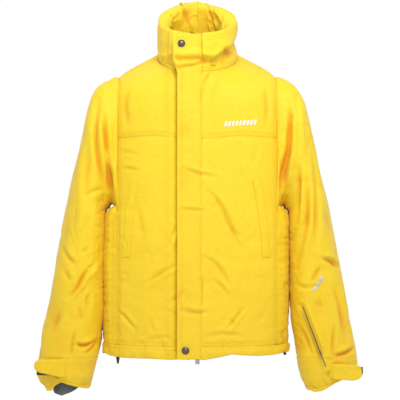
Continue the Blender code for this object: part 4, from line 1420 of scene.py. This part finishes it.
def pillow(name, middle, up, half, look, fold_shade=None):
    """A padded flat piece: two faces that meet along its outline. half is 0 on free edges."""
    rows, columns = middle.shape[:2]
    face, back = middle + up * half[..., None], middle - up * half[..., None]
    shut = half < 1e-7
    index = np.arange(rows * columns).reshape(rows, columns)
    other = np.where(shut, index, index + rows * columns)
    quads = []
    for grid, turn in ((index, 1), (other, -1)):
        q = np.stack((grid[:-1, :-1], grid[:-1, 1:], grid[1:, 1:], grid[1:, :-1]), axis=-1).reshape(-1, 4)
        quads.append(q[:, ::turn])
    quads = np.concatenate(quads)
    sheet = Sheet(face)
    u, v = sheet.lengths()
    flat = np.stack(np.meshgrid(u, v), axis=-1).reshape(-1, 2)
    flat = np.concatenate((flat, flat))
    points = np.concatenate((face.reshape(-1, 3), back.reshape(-1, 3)))
    used = np.unique(quads)
    new = np.full(len(points), -1)
    new[used] = np.arange(len(used))
    mesh = bpy.data.meshes.new(name)
    mesh.from_pydata(points[used].tolist(), [], new[quads].tolist())
    mesh.shade_smooth()
    layer = mesh.uv_layers.new(name="cloth")
    layer.data.foreach_set("uv", flat[quads.ravel()].astype(np.float32).ravel())
    depth = np.zeros(len(points))
    if fold_shade is not None:
        depth[:rows * columns] = np.clip(fold_shade, 0, 1).ravel()
    attribute = mesh.attributes.new("fold_shade", "FLOAT", "POINT")
    attribute.data.foreach_set("value", depth[used].astype(np.float32))
    mesh.materials.append(look)
    obj = bpy.data.objects.new(name, mesh)
    bpy.context.scene.collection.objects.link(obj)
    return obj, sheet


def edge_round(d, thick, radius):
    """Half thickness near a free edge a distance d away, rounding down to nothing at it."""
    return thick / 2 * np.sqrt(np.clip(1 - (1 - np.clip(d / radius, 0, 1)) ** 2, 0, 1))


def make_flap():
    z = (HEM_Z + 0.001) + (FLAP_TOP_Z + 0.0022 - HEM_Z - 0.001) * spaced(0.70, STEP)[:, None]
    free = FLAP_FREE_X - 0.0100 * smooth((z + 0.044) / 0.040)
    x = free + (FLAP_HINGE_X + 0.0040 - free) * spaced(0.056, 0.0022, (True, False))[None, :]
    z = z + 0 * x
    d = np.minimum(np.minimum(x - free, z - z.min()), z.max() - z)
    half = edge_round(d, FLAP_FACE - FLAP_BACK, 0.0022)
    middle = np.stack((x, front_y(z) - (FLAP_FACE + FLAP_BACK) / 2, z), axis=-1)
    up = np.zeros_like(middle)
    up[..., 1] = -1.0
    calm = smooth((x - free) / 0.004)
    for sx, sz in (COLLAR_SNAP, HEM_SNAP):
        calm = calm * (1 - bump(np.hypot(x - sx, z - sz), 0.013))
    relief = folds(middle, BODY_FOLDS) + 0.0008 * noise(middle, 0.045, 121) + 0.0005 * noise(middle, 0.015, 122)
    relief += 0.0006 * crumple(middle, 0.030, 123)
    relief = relief * calm * 0.9
    relief -= 0.0008 * bump(x - FLAP_HINGE_X + 0.001, 0.0016) + 0.0042 * smooth((x - FLAP_HINGE_X) / 0.0035)
    relief -= 0.0007 * (bump(x - free - 0.0075, 0.0014))
    for sx, sz in (COLLAR_SNAP, HEM_SNAP):
        relief -= 0.0007 * bump(np.hypot(x - sx, z - sz) - 0.011, 0.0035)
    face = middle + up * (relief * smooth(half / 0.0012))[..., None]
    obj, sheet = pillow("storm_flap_cloth", face, up, half, SHELL, -relief / 0.004)
    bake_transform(obj)
    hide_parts("storm_flap")
    return sheet


def lathe(name, profile, place, look, steps=40):
    """A round piece turned about its own axis, which points along -Y. profile is (radius, height)."""
    bm = bmesh.new()
    rings = []
    for radius, height in profile:
        if radius < 1e-6:
            rings.append([bm.verts.new((0, -height, 0))])
        else:
            rings.append([bm.verts.new((radius * math.cos(a), -height, radius * math.sin(a)))
                          for a in np.linspace(0, 2 * math.pi, steps + 1)[:-1]])
    for a, b in zip(rings, rings[1:]):
        for k in range(steps):
            m = (k + 1) % steps
            face = [a[k % len(a)], a[m % len(a)], b[m % len(b)], b[k % len(b)]]
            face = list(dict.fromkeys(face))
            if len(face) > 2:
                bm.faces.new(face)
    obj = solid(name, bm, look, 50)
    obj.location = place
    bpy.context.view_layer.update()
    return obj


def make_snaps():
    cap = [(0.0, 0.0), (0.0058, 0.0), (0.0080, 0.0004), (0.0083, 0.0010), (0.0080, 0.0016), (0.0073, 0.0018),
           (0.0070, 0.0015), (0.0066, 0.0018), (0.0056, 0.0028), (0.0040, 0.0036), (0.0020, 0.0040), (0.0, 0.0041)]
    stud = [(0.0, 0.0), (0.0056, 0.0), (0.0056, 0.0008), (0.0040, 0.0011), (0.0030, 0.0013), (0.0026, 0.0022),
            (0.0018, 0.0026), (0.0, 0.0027)]
    for name, (x, z) in (("collar_snap", COLLAR_SNAP), ("hem_snap", HEM_SNAP)):
        piece = lathe(f"{name}_dome", cap, (x, front_y(z) - FLAP_FACE + 0.0006, z), GUNMETAL)
        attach(piece, "storm_flap")
        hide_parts(f"{name}_cap")
        seat_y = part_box(f"{name}_stud")[1].y
        piece = lathe(f"{name}_post", stud, (x, seat_y, z), GUNMETAL)
        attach(piece, "jacket")
        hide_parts(f"{name}_stud")


def blocks(name, boxes, look, bevel=0.0):
    """Many small boxes in one piece: centre, size and the direction of its long axis."""
    bm = bmesh.new()
    for centre, size, axis in boxes:
        turn = Vector(axis).to_track_quat("Z", "Y").to_matrix().to_4x4()
        bmesh.ops.create_cube(bm, size=1.0, matrix=Matrix.Translation(centre) @ turn @ Matrix.Diagonal((*size, 1.0)))
    if bevel:
        bmesh.ops.bevel(bm, geom=bm.edges[:], offset=bevel, segments=2, affect="EDGES", profile=0.6)
    return solid(name, bm, look)


def make_zip():
    """Moulded teeth on the edge of each tape, the stop box, the slider and its pull."""
    pitch = 0.0028
    along = Vector((0.0, FRONT_LEAN, 1.0)).normalized()
    for side, hand in HANDS:
        low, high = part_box(f"zip_teeth_{hand}")
        count = int((high.z - low.z) / pitch)
        boxes = []
        for k in range(count):
            z = low.z + pitch * (k + (0.5 if side > 0 else 0.0)) + 0.0008
            x = side * 0.0024
            boxes.append(((x, front_y(z) + 0.0013, z), (0.0026, 0.0026, 0.0017), (0, FRONT_LEAN, 1)))
        teeth = blocks(f"zip_teeth_row_{hand}", boxes, STEEL)
        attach(teeth, "jacket")
        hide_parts(f"zip_teeth_{hand}")
        frame["nodes"][f"zip_tape_{hand}"].data.materials[0] = TAPE
    z = HEM_Z - 0.0045
    y = front_y(z)
    box = blocks("zip_stop_box", [((0, y, z), (0.0096, 0.0020, 0.0105), along),
                                  ((0.0030, y - 0.0002, z - 0.0040), (0.0030, 0.0024, 0.0020), along)],
                 STEEL, 0.0004)
    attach(box, "jacket")
    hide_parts("zip_box")
    low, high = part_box("zip_slider")
    middle = (low + high) / 2
    slider = blocks("zip_slider_body", [
        ((0, low.y + 0.0009, middle.z), (0.0104, 0.0016, 0.0140), along),
        ((0, high.y - 0.0007, middle.z), (0.0100, 0.0012, 0.0138), along),
        ((0, middle.y, middle.z + 0.0036), (0.0016, 0.0060, 0.0044), along),
        ((0, low.y - 0.0010, middle.z + 0.0012), (0.0026, 0.0024, 0.0082), along)], STEEL, 0.00045)
    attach(slider, "front_slider")
    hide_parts("zip_slider")
    pull_piece("zip_pull_tab", "zip_pull", "front_slider", (0.0070, 0.0016), along)


def pull_piece(name, node, body_name, size, along, look=None):
    """A flat pull with a slot near its free end and a rounded outline."""
    low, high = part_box(node)
    centre = (low + high) / 2
    length = (high - low).length if node == "sleeve_pocket_pull" else high.z - low.z
    width, thick = size
    bm = bmesh.new()
    outline, hole = [], []
    half = length / 2
    for a in np.linspace(0, 2 * math.pi, 33)[:-1]:
        c, s = math.cos(a), math.sin(a)
        taper = width / 2 * (1.0 if s < 0 else 0.72)
        outline.append((taper * math.copysign(abs(c) ** 0.55, c), half * math.copysign(abs(s) ** 0.55, s)))
        hole.append((width * 0.22 * c, -half * 0.42 + half * 0.30 * s))
    layers = []
    for y in (-thick / 2, thick / 2):
        layers.append([[bm.verts.new((x, y, z)) for x, z in loop] for loop in (outline, hole)])
    n = len(outline)
    for k in range(n):
        m = (k + 1) % n
        for (a, b) in ((layers[0][0], layers[0][1]), (layers[1][0], layers[1][1])):
            bm.faces.new((a[k], a[m], b[m], b[k]))
        bm.faces.new((layers[0][0][k], layers[0][0][m], layers[1][0][m], layers[1][0][k]))
        bm.faces.new((layers[0][1][k], layers[0][1][m], layers[1][1][m], layers[1][1][k]))
    turn = Vector(along).to_track_quat("Z", "Y").to_matrix().to_4x4()
    bmesh.ops.transform(bm, matrix=Matrix.Translation(centre) @ turn, verts=bm.verts)
    obj = solid(name, bm, look or STEEL)
    bevel = obj.modifiers.new("Soft edges", "BEVEL")
    bevel.width, bevel.segments, bevel.limit_method = 0.00025, 2, "ANGLE"
    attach(obj, body_name)
    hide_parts(node)
    return obj


ZIP_LOW, ZIP_TOP = Vector((0.2710, -0.0860, -0.655)), Vector((0.2300, -0.0800, -0.547))


def make_sleeve_pocket():
    """A closed coil zip sewn into the wearer's left forearm."""
    run = ZIP_TOP - ZIP_LOW
    along = run.normalized()
    across = Vector((0.0, 1.0, 0.0)).cross(run).normalized()
    out = along.cross(across)
    out = out if out.y < 0 else -out
    coil = []
    for k in range(int(run.length / 0.0013)):
        centre = ZIP_LOW + along * (0.0013 * k + 0.0006) + out * 0.0006
        side = across * (0.0006 if k % 2 else -0.0006)
        coil.append((centre + side, (0.0020, 0.0016, 0.0009), along))
    teeth = blocks("sleeve_zip_coil", coil, DARK)
    tapes = blocks("sleeve_zip_tape", [(ZIP_LOW + run / 2 + across * s * 0.0028 - out * 0.0008,
                                        (0.0034, 0.0010, run.length), along) for s in (-1, 1)],
                   TAPE, 0.0003)
    core = blocks("sleeve_zip_core", [(ZIP_LOW + run / 2 + out * 0.0001, (0.0028, 0.0010, run.length), along)],
                  DARK, 0.0003)
    for piece in (teeth, tapes, core):
        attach(piece, "forearm_left")
    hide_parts("sleeve_pocket_zip")
    at = ZIP_LOW + along * 0.007 + out * 0.0028
    slider = blocks("sleeve_zip_slider", [(at, (0.0062, 0.0026, 0.0110), along),
                                          (at + out * 0.0016 + along * 0.001, (0.0022, 0.0014, 0.0060), along)],
                    GUNMETAL, 0.0006)
    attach(slider, "pocket_slider")
    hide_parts("sleeve_pocket_slider")
    pull_piece("sleeve_zip_pull", "sleeve_pocket_pull", "pocket_pull", (0.0044, 0.0020), along, GUNMETAL)


def make_tab(side, hand):
    """The cuff strap: it widens into the cuff and is rounded at its free end, with hook tape behind."""
    root, tip, front = 0.2900, (0.3630 if side > 0 else 0.3580), -0.0852
    u = spaced(tip - root, 0.0021, (False, True))[None, :]
    v = spaced(0.030, 0.0017)[:, None] * 2 - 1
    x = root + (tip - root) * u + 0 * v
    if side > 0:
        high = np.interp(x, (0.290, 0.312, 0.363), (-0.6730, -0.6735, -0.6770))
        low = np.interp(x, (0.290, 0.300, 0.340, 0.363), (-0.7040, -0.7075, -0.7100, -0.7060))
    else:
        high = np.interp(x, (0.290, 0.358), (-0.6630, -0.6645))
        low = np.interp(x, (0.290, 0.352), (-0.7050, -0.6915))
    reach = 0.5 * (high - low)
    end = np.clip((x - (tip - reach)) / reach, 0, 1)
    half_height = reach * np.sqrt(np.clip(1 - end**2, 1e-4, 1))
    z = (high + low) / 2 + v * half_height
    d = np.minimum((1 - np.abs(v)) * half_height, tip - x)
    half = edge_round(d, 0.0034, 0.0016)
    half[:, -1] = half[0] = half[-1] = 0.0
    place = np.stack((x, 0 * x, z), axis=-1)
    inner = smooth((half - 0.0010) / 0.0005)
    y = front + 0.0014 * noise(place, 0.024, 131) + 0.0010 * crumple(place, 0.022, 133) * inner
    y += 0.0040 * smooth((x - 0.342) / 0.022) + 0.0075 * smooth((0.3000 - x) / 0.010)
    y -= 0.0006 * bump(np.minimum(d, 0.02) - 0.0045, 0.0012)
    middle = np.stack((side * x, y, z), axis=-1)
    up = np.zeros_like(middle)
    up[..., 1] = -1.0
    if side < 0:
        middle, up, half = middle[:, ::-1], up[:, ::-1], half[:, ::-1]
    obj, sheet = pillow(f"cuff_strap_{hand}", middle, up, half, SHELL)
    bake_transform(obj)
    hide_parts(f"cuff_tab_{hand}")
    middle_z = -0.6885 if side > 0 else -0.6790
    # Hook tape behind the strap: on the right cuff it shows below the strap, on the left beyond its end
    reach = tip - 0.0010 if side > 0 else tip - 0.006
    hx = 0.311 + (reach - 0.311) * spaced(0.05, 0.003)[None, :]
    hv = (spaced(0.024, 0.003)[:, None] * 2 - 1)
    hx = hx + 0 * hv
    hz = middle_z + hv * (0.0112 if side < 0 else 0.0080) - (0.0085 if side < 0 else 0.0) + 0 * hx
    hd = np.minimum((1 - np.abs(hv)) * 0.0080, np.minimum(hx - hx.min(), hx.max() - hx))
    hook_mid = np.stack((side * hx, front + 0.0029 + 0 * hx, hz), axis=-1)
    hook_up = np.zeros_like(hook_mid)
    hook_up[..., 1] = -1.0
    hook_half = edge_round(hd, 0.0016, 0.0010)
    if side < 0:
        hook_mid, hook_up, hook_half = hook_mid[:, ::-1], hook_up[:, ::-1], hook_half[:, ::-1]
    hook, _ = pillow(f"cuff_strap_hooks_{hand}", hook_mid, hook_up, hook_half, HOOK)
    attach(hook, f"cuff_tab_{hand}")
    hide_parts(f"cuff_hook_patch_{hand}")
    frame["nodes"][f"cuff_loop_patch_{hand}"].data.materials[0] = LOOP
    return sheet


def surface_finder(objects):
    """A search for the outermost cloth in front of or behind a point (x, z)."""
    from mathutils.bvhtree import BVHTree
    points, faces = [], []
    for obj in objects:
        first = len(points)
        points += [v.co.copy() for v in obj.data.vertices]
        faces += [[first + i for i in p.vertices] for p in obj.data.polygons]
    tree = BVHTree.FromPolygons(points, faces)

    def find(x, z, back=False):
        start = Vector((x, 0.6 if back else -0.6, z))
        hit, normal, _, _ = tree.ray_cast(start, Vector((0, -1 if back else 1, 0)))
        if hit is None:
            return None, None
        if normal.y * (1 if back else -1) < 0:
            normal = -normal
        return np.array(hit), np.array(normal)

    return find


def laid_grid(find, corners):
    """Points just in front of the cloth, between four corners (x, z)."""
    a, b, c, d = (np.array(p, float) for p in corners)
    rows = []
    for v in np.linspace(0, 1, 5):
        row = []
        for s in np.linspace(0, 1, 14):
            p = (a * (1 - s) + b * s) * (1 - v) + (d * (1 - s) + c * s) * v
            hit, normal = find(float(p[0]), float(p[1]))
            row.append(hit + normal * PRINT_LIFT)
        rows.append(row)
    return np.array(rows)


PRINT_LIFT = 0.0005
BAR_COUNT, BAR_START = 9, (0.0575, -0.1565)
BAR_PITCH, BAR_RISE, BAR_WIDTH, BAR_HEIGHT, BAR_LEAN = 0.0080, 0.0006, 0.0044, 0.0115, 0.0034


def make_mark(name, find, shapes, look, body_name):
    """A generic transfer print of plain slanted bars."""
    points, faces = [], []
    for corners in shapes:
        grid = laid_grid(find, corners)
        rows, columns = grid.shape[:2]
        first = len(points)
        points += grid.reshape(-1, 3).tolist()
        for i in range(rows - 1):
            for j in range(columns - 1):
                k = first + i * columns + j
                faces.append((k, k + 1, k + columns + 1, k + columns))
    obj = raw_mesh(name, points, faces, look)
    thick = obj.modifiers.new("Film", "SOLIDIFY")
    thick.thickness, thick.offset = 0.0003, -1.0
    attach(obj, body_name)
    return obj


def make_pockets(find):
    """Hand pocket welts: a folded strip sewn over each slanted opening."""
    for side, hand in HANDS:
        top, bottom = ((0.136, -0.268), (0.155, -0.440)) if side < 0 else ((0.128, -0.268), (0.150, -0.440))
        r = spaced(0.173, 0.0032)[:, None]
        s = spaced(0.018, 0.0022)[None, :]
        bow = 0.0030 * np.sin(np.pi * r)
        x = top[0] + (bottom[0] - top[0]) * r + bow - 0.009 + 0.018 * s
        z = top[1] + (bottom[1] - top[1]) * r + 0 * s
        rows = []
        for i in range(x.shape[0]):
            rows.append([find(side * float(x[i, j]), float(z[i, j]))[0] for j in range(x.shape[1])])
        face = np.array(rows)[::-1]
        if side < 0:
            face = face[:, ::-1]
        normal = Sheet(face).normals()
        d = np.minimum(np.minimum(r, 1 - r) * 0.173, np.minimum(s, 1 - s) * 0.018)[::-1]
        half = edge_round(d if side > 0 else d[:, ::-1], 0.0020, 0.0014)
        obj, _ = pillow(f"pocket_welt_strip_{hand}", face + normal * 0.0007, normal, half, SHELL)
        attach(obj, "jacket")
        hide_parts(f"pocket_welt_{hand}")
        frame["nodes"][f"pocket_bag_{hand}"].data.materials[0] = LINING


def make_cord_locks():
    """Moulded cord locks at the hem, each with its plunger button."""
    for _, hand in HANDS:
        low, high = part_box(f"cord_lock_{hand}")
        middle = (low + high) / 2
        size = high - low
        bm = bmesh.new()
        rings = []
        profile = ((0.28, -0.5), (0.38, -0.48), (0.40, -0.36), (0.50, -0.20), (0.56, -0.16), (0.52, -0.10),
                   (0.66, 0.06), (0.60, 0.10), (0.78, 0.24), (0.84, 0.36), (0.80, 0.5), (0.50, 0.5), (0.48, 0.10))
        for scale, height in profile:
            ring = []
            for a in np.linspace(0, 2 * math.pi, 29)[:-1]:
                c, s = math.cos(a), math.sin(a)
                ring.append(bm.verts.new((size.x / 2 * scale * math.copysign(abs(c) ** 0.7, c),
                                          size.y / 2 * scale * math.copysign(abs(s) ** 0.7, s),
                                          size.z * height)))
            rings.append(ring)
        for a, b in zip(rings, rings[1:]):
            for k in range(28):
                bm.faces.new((a[k], a[(k + 1) % 28], b[(k + 1) % 28], b[k]))
        bm.faces.new(rings[0][::-1])
        bm.faces.new(rings[-1])
        bmesh.ops.translate(bm, verts=bm.verts, vec=middle)
        obj = solid(f"cord_lock_barrel_{hand}", bm, PLASTIC, 60)
        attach(obj, "jacket")
        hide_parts(f"cord_lock_{hand}")
        low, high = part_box(f"cord_lock_plunger_{hand}")
        middle = (low + high) / 2
        plunger = blocks(f"cord_lock_button_{hand}", [
            ((middle.x, middle.y, high.z - 0.0016), (0.0086, 0.0060, 0.0030), (0, 0, 1)),
            ((middle.x, middle.y, (low.z + high.z) / 2 - 0.001), (0.0056, 0.0034, high.z - low.z - 0.002), (0, 0, 1))],
            PLASTIC, 0.0006)
        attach(plunger, f"plunger_{hand}")
        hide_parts(f"cord_lock_plunger_{hand}")


def make_hem_cord():
    """The braided drawcord inside the hem, and the two eyelets that it leaves the hem through."""
    angle = np.linspace(front_edge(np.array(0.02)) + 0.04, 2 * np.pi - front_edge(np.array(0.02), -1) - 0.04, 420)
    x = BODY_HALF_WIDTH * np.sin(angle)
    level = chest_level(hem_low(x, np.cos(angle) > 0) + 0.0085)
    line = body(angle, level)
    out = normals(body, angle, level)
    line = line - out * 0.0036 + np.array((0, 0, 1.0)) * 0.0006 * noise(line, 0.02, 141)[:, None]
    around = np.linspace(0, 2 * np.pi, 13)[:-1]
    up = np.array((0.0, 0.0, 1.0))
    ring = out[:, None] * np.cos(around)[None, :, None] + up * np.sin(around)[None, :, None]
    twist = 1 + 0.10 * np.sin(around[None, :] * 3 + np.arange(len(angle))[:, None] * 0.9)
    obj = cloth_mesh("hem_cord_braid", Sheet(line[:, None] + ring * 0.0013 * twist[..., None], wrap=True), DARK)
    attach(obj, "jacket")
    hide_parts("hem_drawcord")
    eyelet = [(0.0, 0.0), (0.0026, 0.0), (0.0034, 0.0006), (0.0034, 0.0014), (0.0028, 0.0019), (0.0020, 0.0014),
              (0.0017, 0.0006), (0.0, 0.0006)]
    for name, x, y, z in (("right", -0.2085, -0.026, -0.6533), ("left", 0.1925, -0.064, -0.6530)):
        ride = lathe(f"hem_eyelet_{name}", eyelet, (x, y, z), PLASTIC, 24)
        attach(ride, "jacket")


def dress_cad_nodes():
    nodes = frame["nodes"]
    for name, look in (("flap_hook_strip", HOOK), ("front_loop_strip", LOOP),
                       ("hanger_loop", TAPE)):
        nodes[name].data.materials[0] = look


def main():
    fronts = {hand: make_front(side, hand) for side, hand in HANDS}
    for side, hand in HANDS:
        make_side(side, hand)
    back = make_back()
    hem = make_hem()
    collar_sheet = make_collar()
    make_linings()
    for side, hand in HANDS:
        make_sleeve(side, hand)
    cuffs = {hand: make_cuff(side, hand) for side, hand in HANDS}
    for side, hand in HANDS:
        make_gaiter(side, hand)
    flap = make_flap()
    make_snaps()
    make_zip()
    make_sleeve_pocket()
    for side, hand in HANDS:
        make_tab(side, hand)
    cloth = [o for o in bpy.context.scene.objects if o.type == "MESH" and not o.hide_render
             and o.data.materials and o.data.materials[0] == SHELL]
    find = surface_finder(cloth)
    make_pockets(find)
    make_cord_locks()
    make_hem_cord()
    dress_cad_nodes()
    bars = []
    for k in range(BAR_COUNT):
        x = BAR_START[0] + BAR_PITCH * k
        low = BAR_START[1] + BAR_RISE * k
        high = low + BAR_HEIGHT
        bars.append(((x, low), (x + BAR_WIDTH, low), (x + BAR_WIDTH + BAR_LEAN, high), (x + BAR_LEAN, high)))
    make_mark("chest_bars", find, bars, PRINT, "jacket")
    mark = []
    for k in range(3):
        a = np.array((0.2545 + 0.0075 * k, -0.5150 + 0.0110 * k))
        mark.append((a, a + (0.0085, 0.0075), a + (0.0040, 0.0135), a + (-0.0045, 0.0060)))
    make_mark("sleeve_bars", find, mark, PRINT_GREY, "forearm_left")
    stitch_all(fronts, back, hem, collar_sheet, cuffs, flap)


def sheet_line(sheet, row=None, column=None, lift=0.00025):
    n = sheet.normals()
    if row is not None:
        return sheet.points[row] + n[row] * lift, n[row]
    return sheet.points[:, column] + n[:, column] * lift, n[:, column]


def stitch_all(fronts, back, hem, collar_sheet, cuffs, flap):
    """Rows of separate stitches along the seams."""
    lines = []
    for hand in ("left", "right"):
        panel_sheet, yoke = fronts[hand]
        lines += [sheet_line(yoke, row=6), sheet_line(panel_sheet, row=6)]
        arm_side = -8 if hand == "left" else 7
        lines += [sheet_line(yoke, column=arm_side), sheet_line(panel_sheet, column=arm_side)]
    for sheet in back:
        lines += [sheet_line(sheet, column=7), sheet_line(sheet, column=-8)]
    lines += [sheet_line(back[0], row=-7), sheet_line(back[1], row=6)]
    lines += [sheet_line(hem, row=-5), sheet_line(collar_sheet, row=6), sheet_line(collar_sheet, row=-3),
              sheet_line(collar_sheet, row=-7)]
    stitches("topstitching_body", lines, THREAD, "jacket")
    line, up = sheet_line(flap, column=7)
    stitches("topstitching_flap", [(line[4:-4], up[4:-4])], THREAD, "storm_flap")
    stitches("topstitching_placket", [sheet_line(flap, column=-4)], THREAD, "jacket")
    for _, hand in HANDS:
        rows = [sheet_line(cuffs[hand], row=-4)]
        stitches(f"topstitching_cuff_{hand}", rows, THREAD, f"forearm_{hand}")


main()
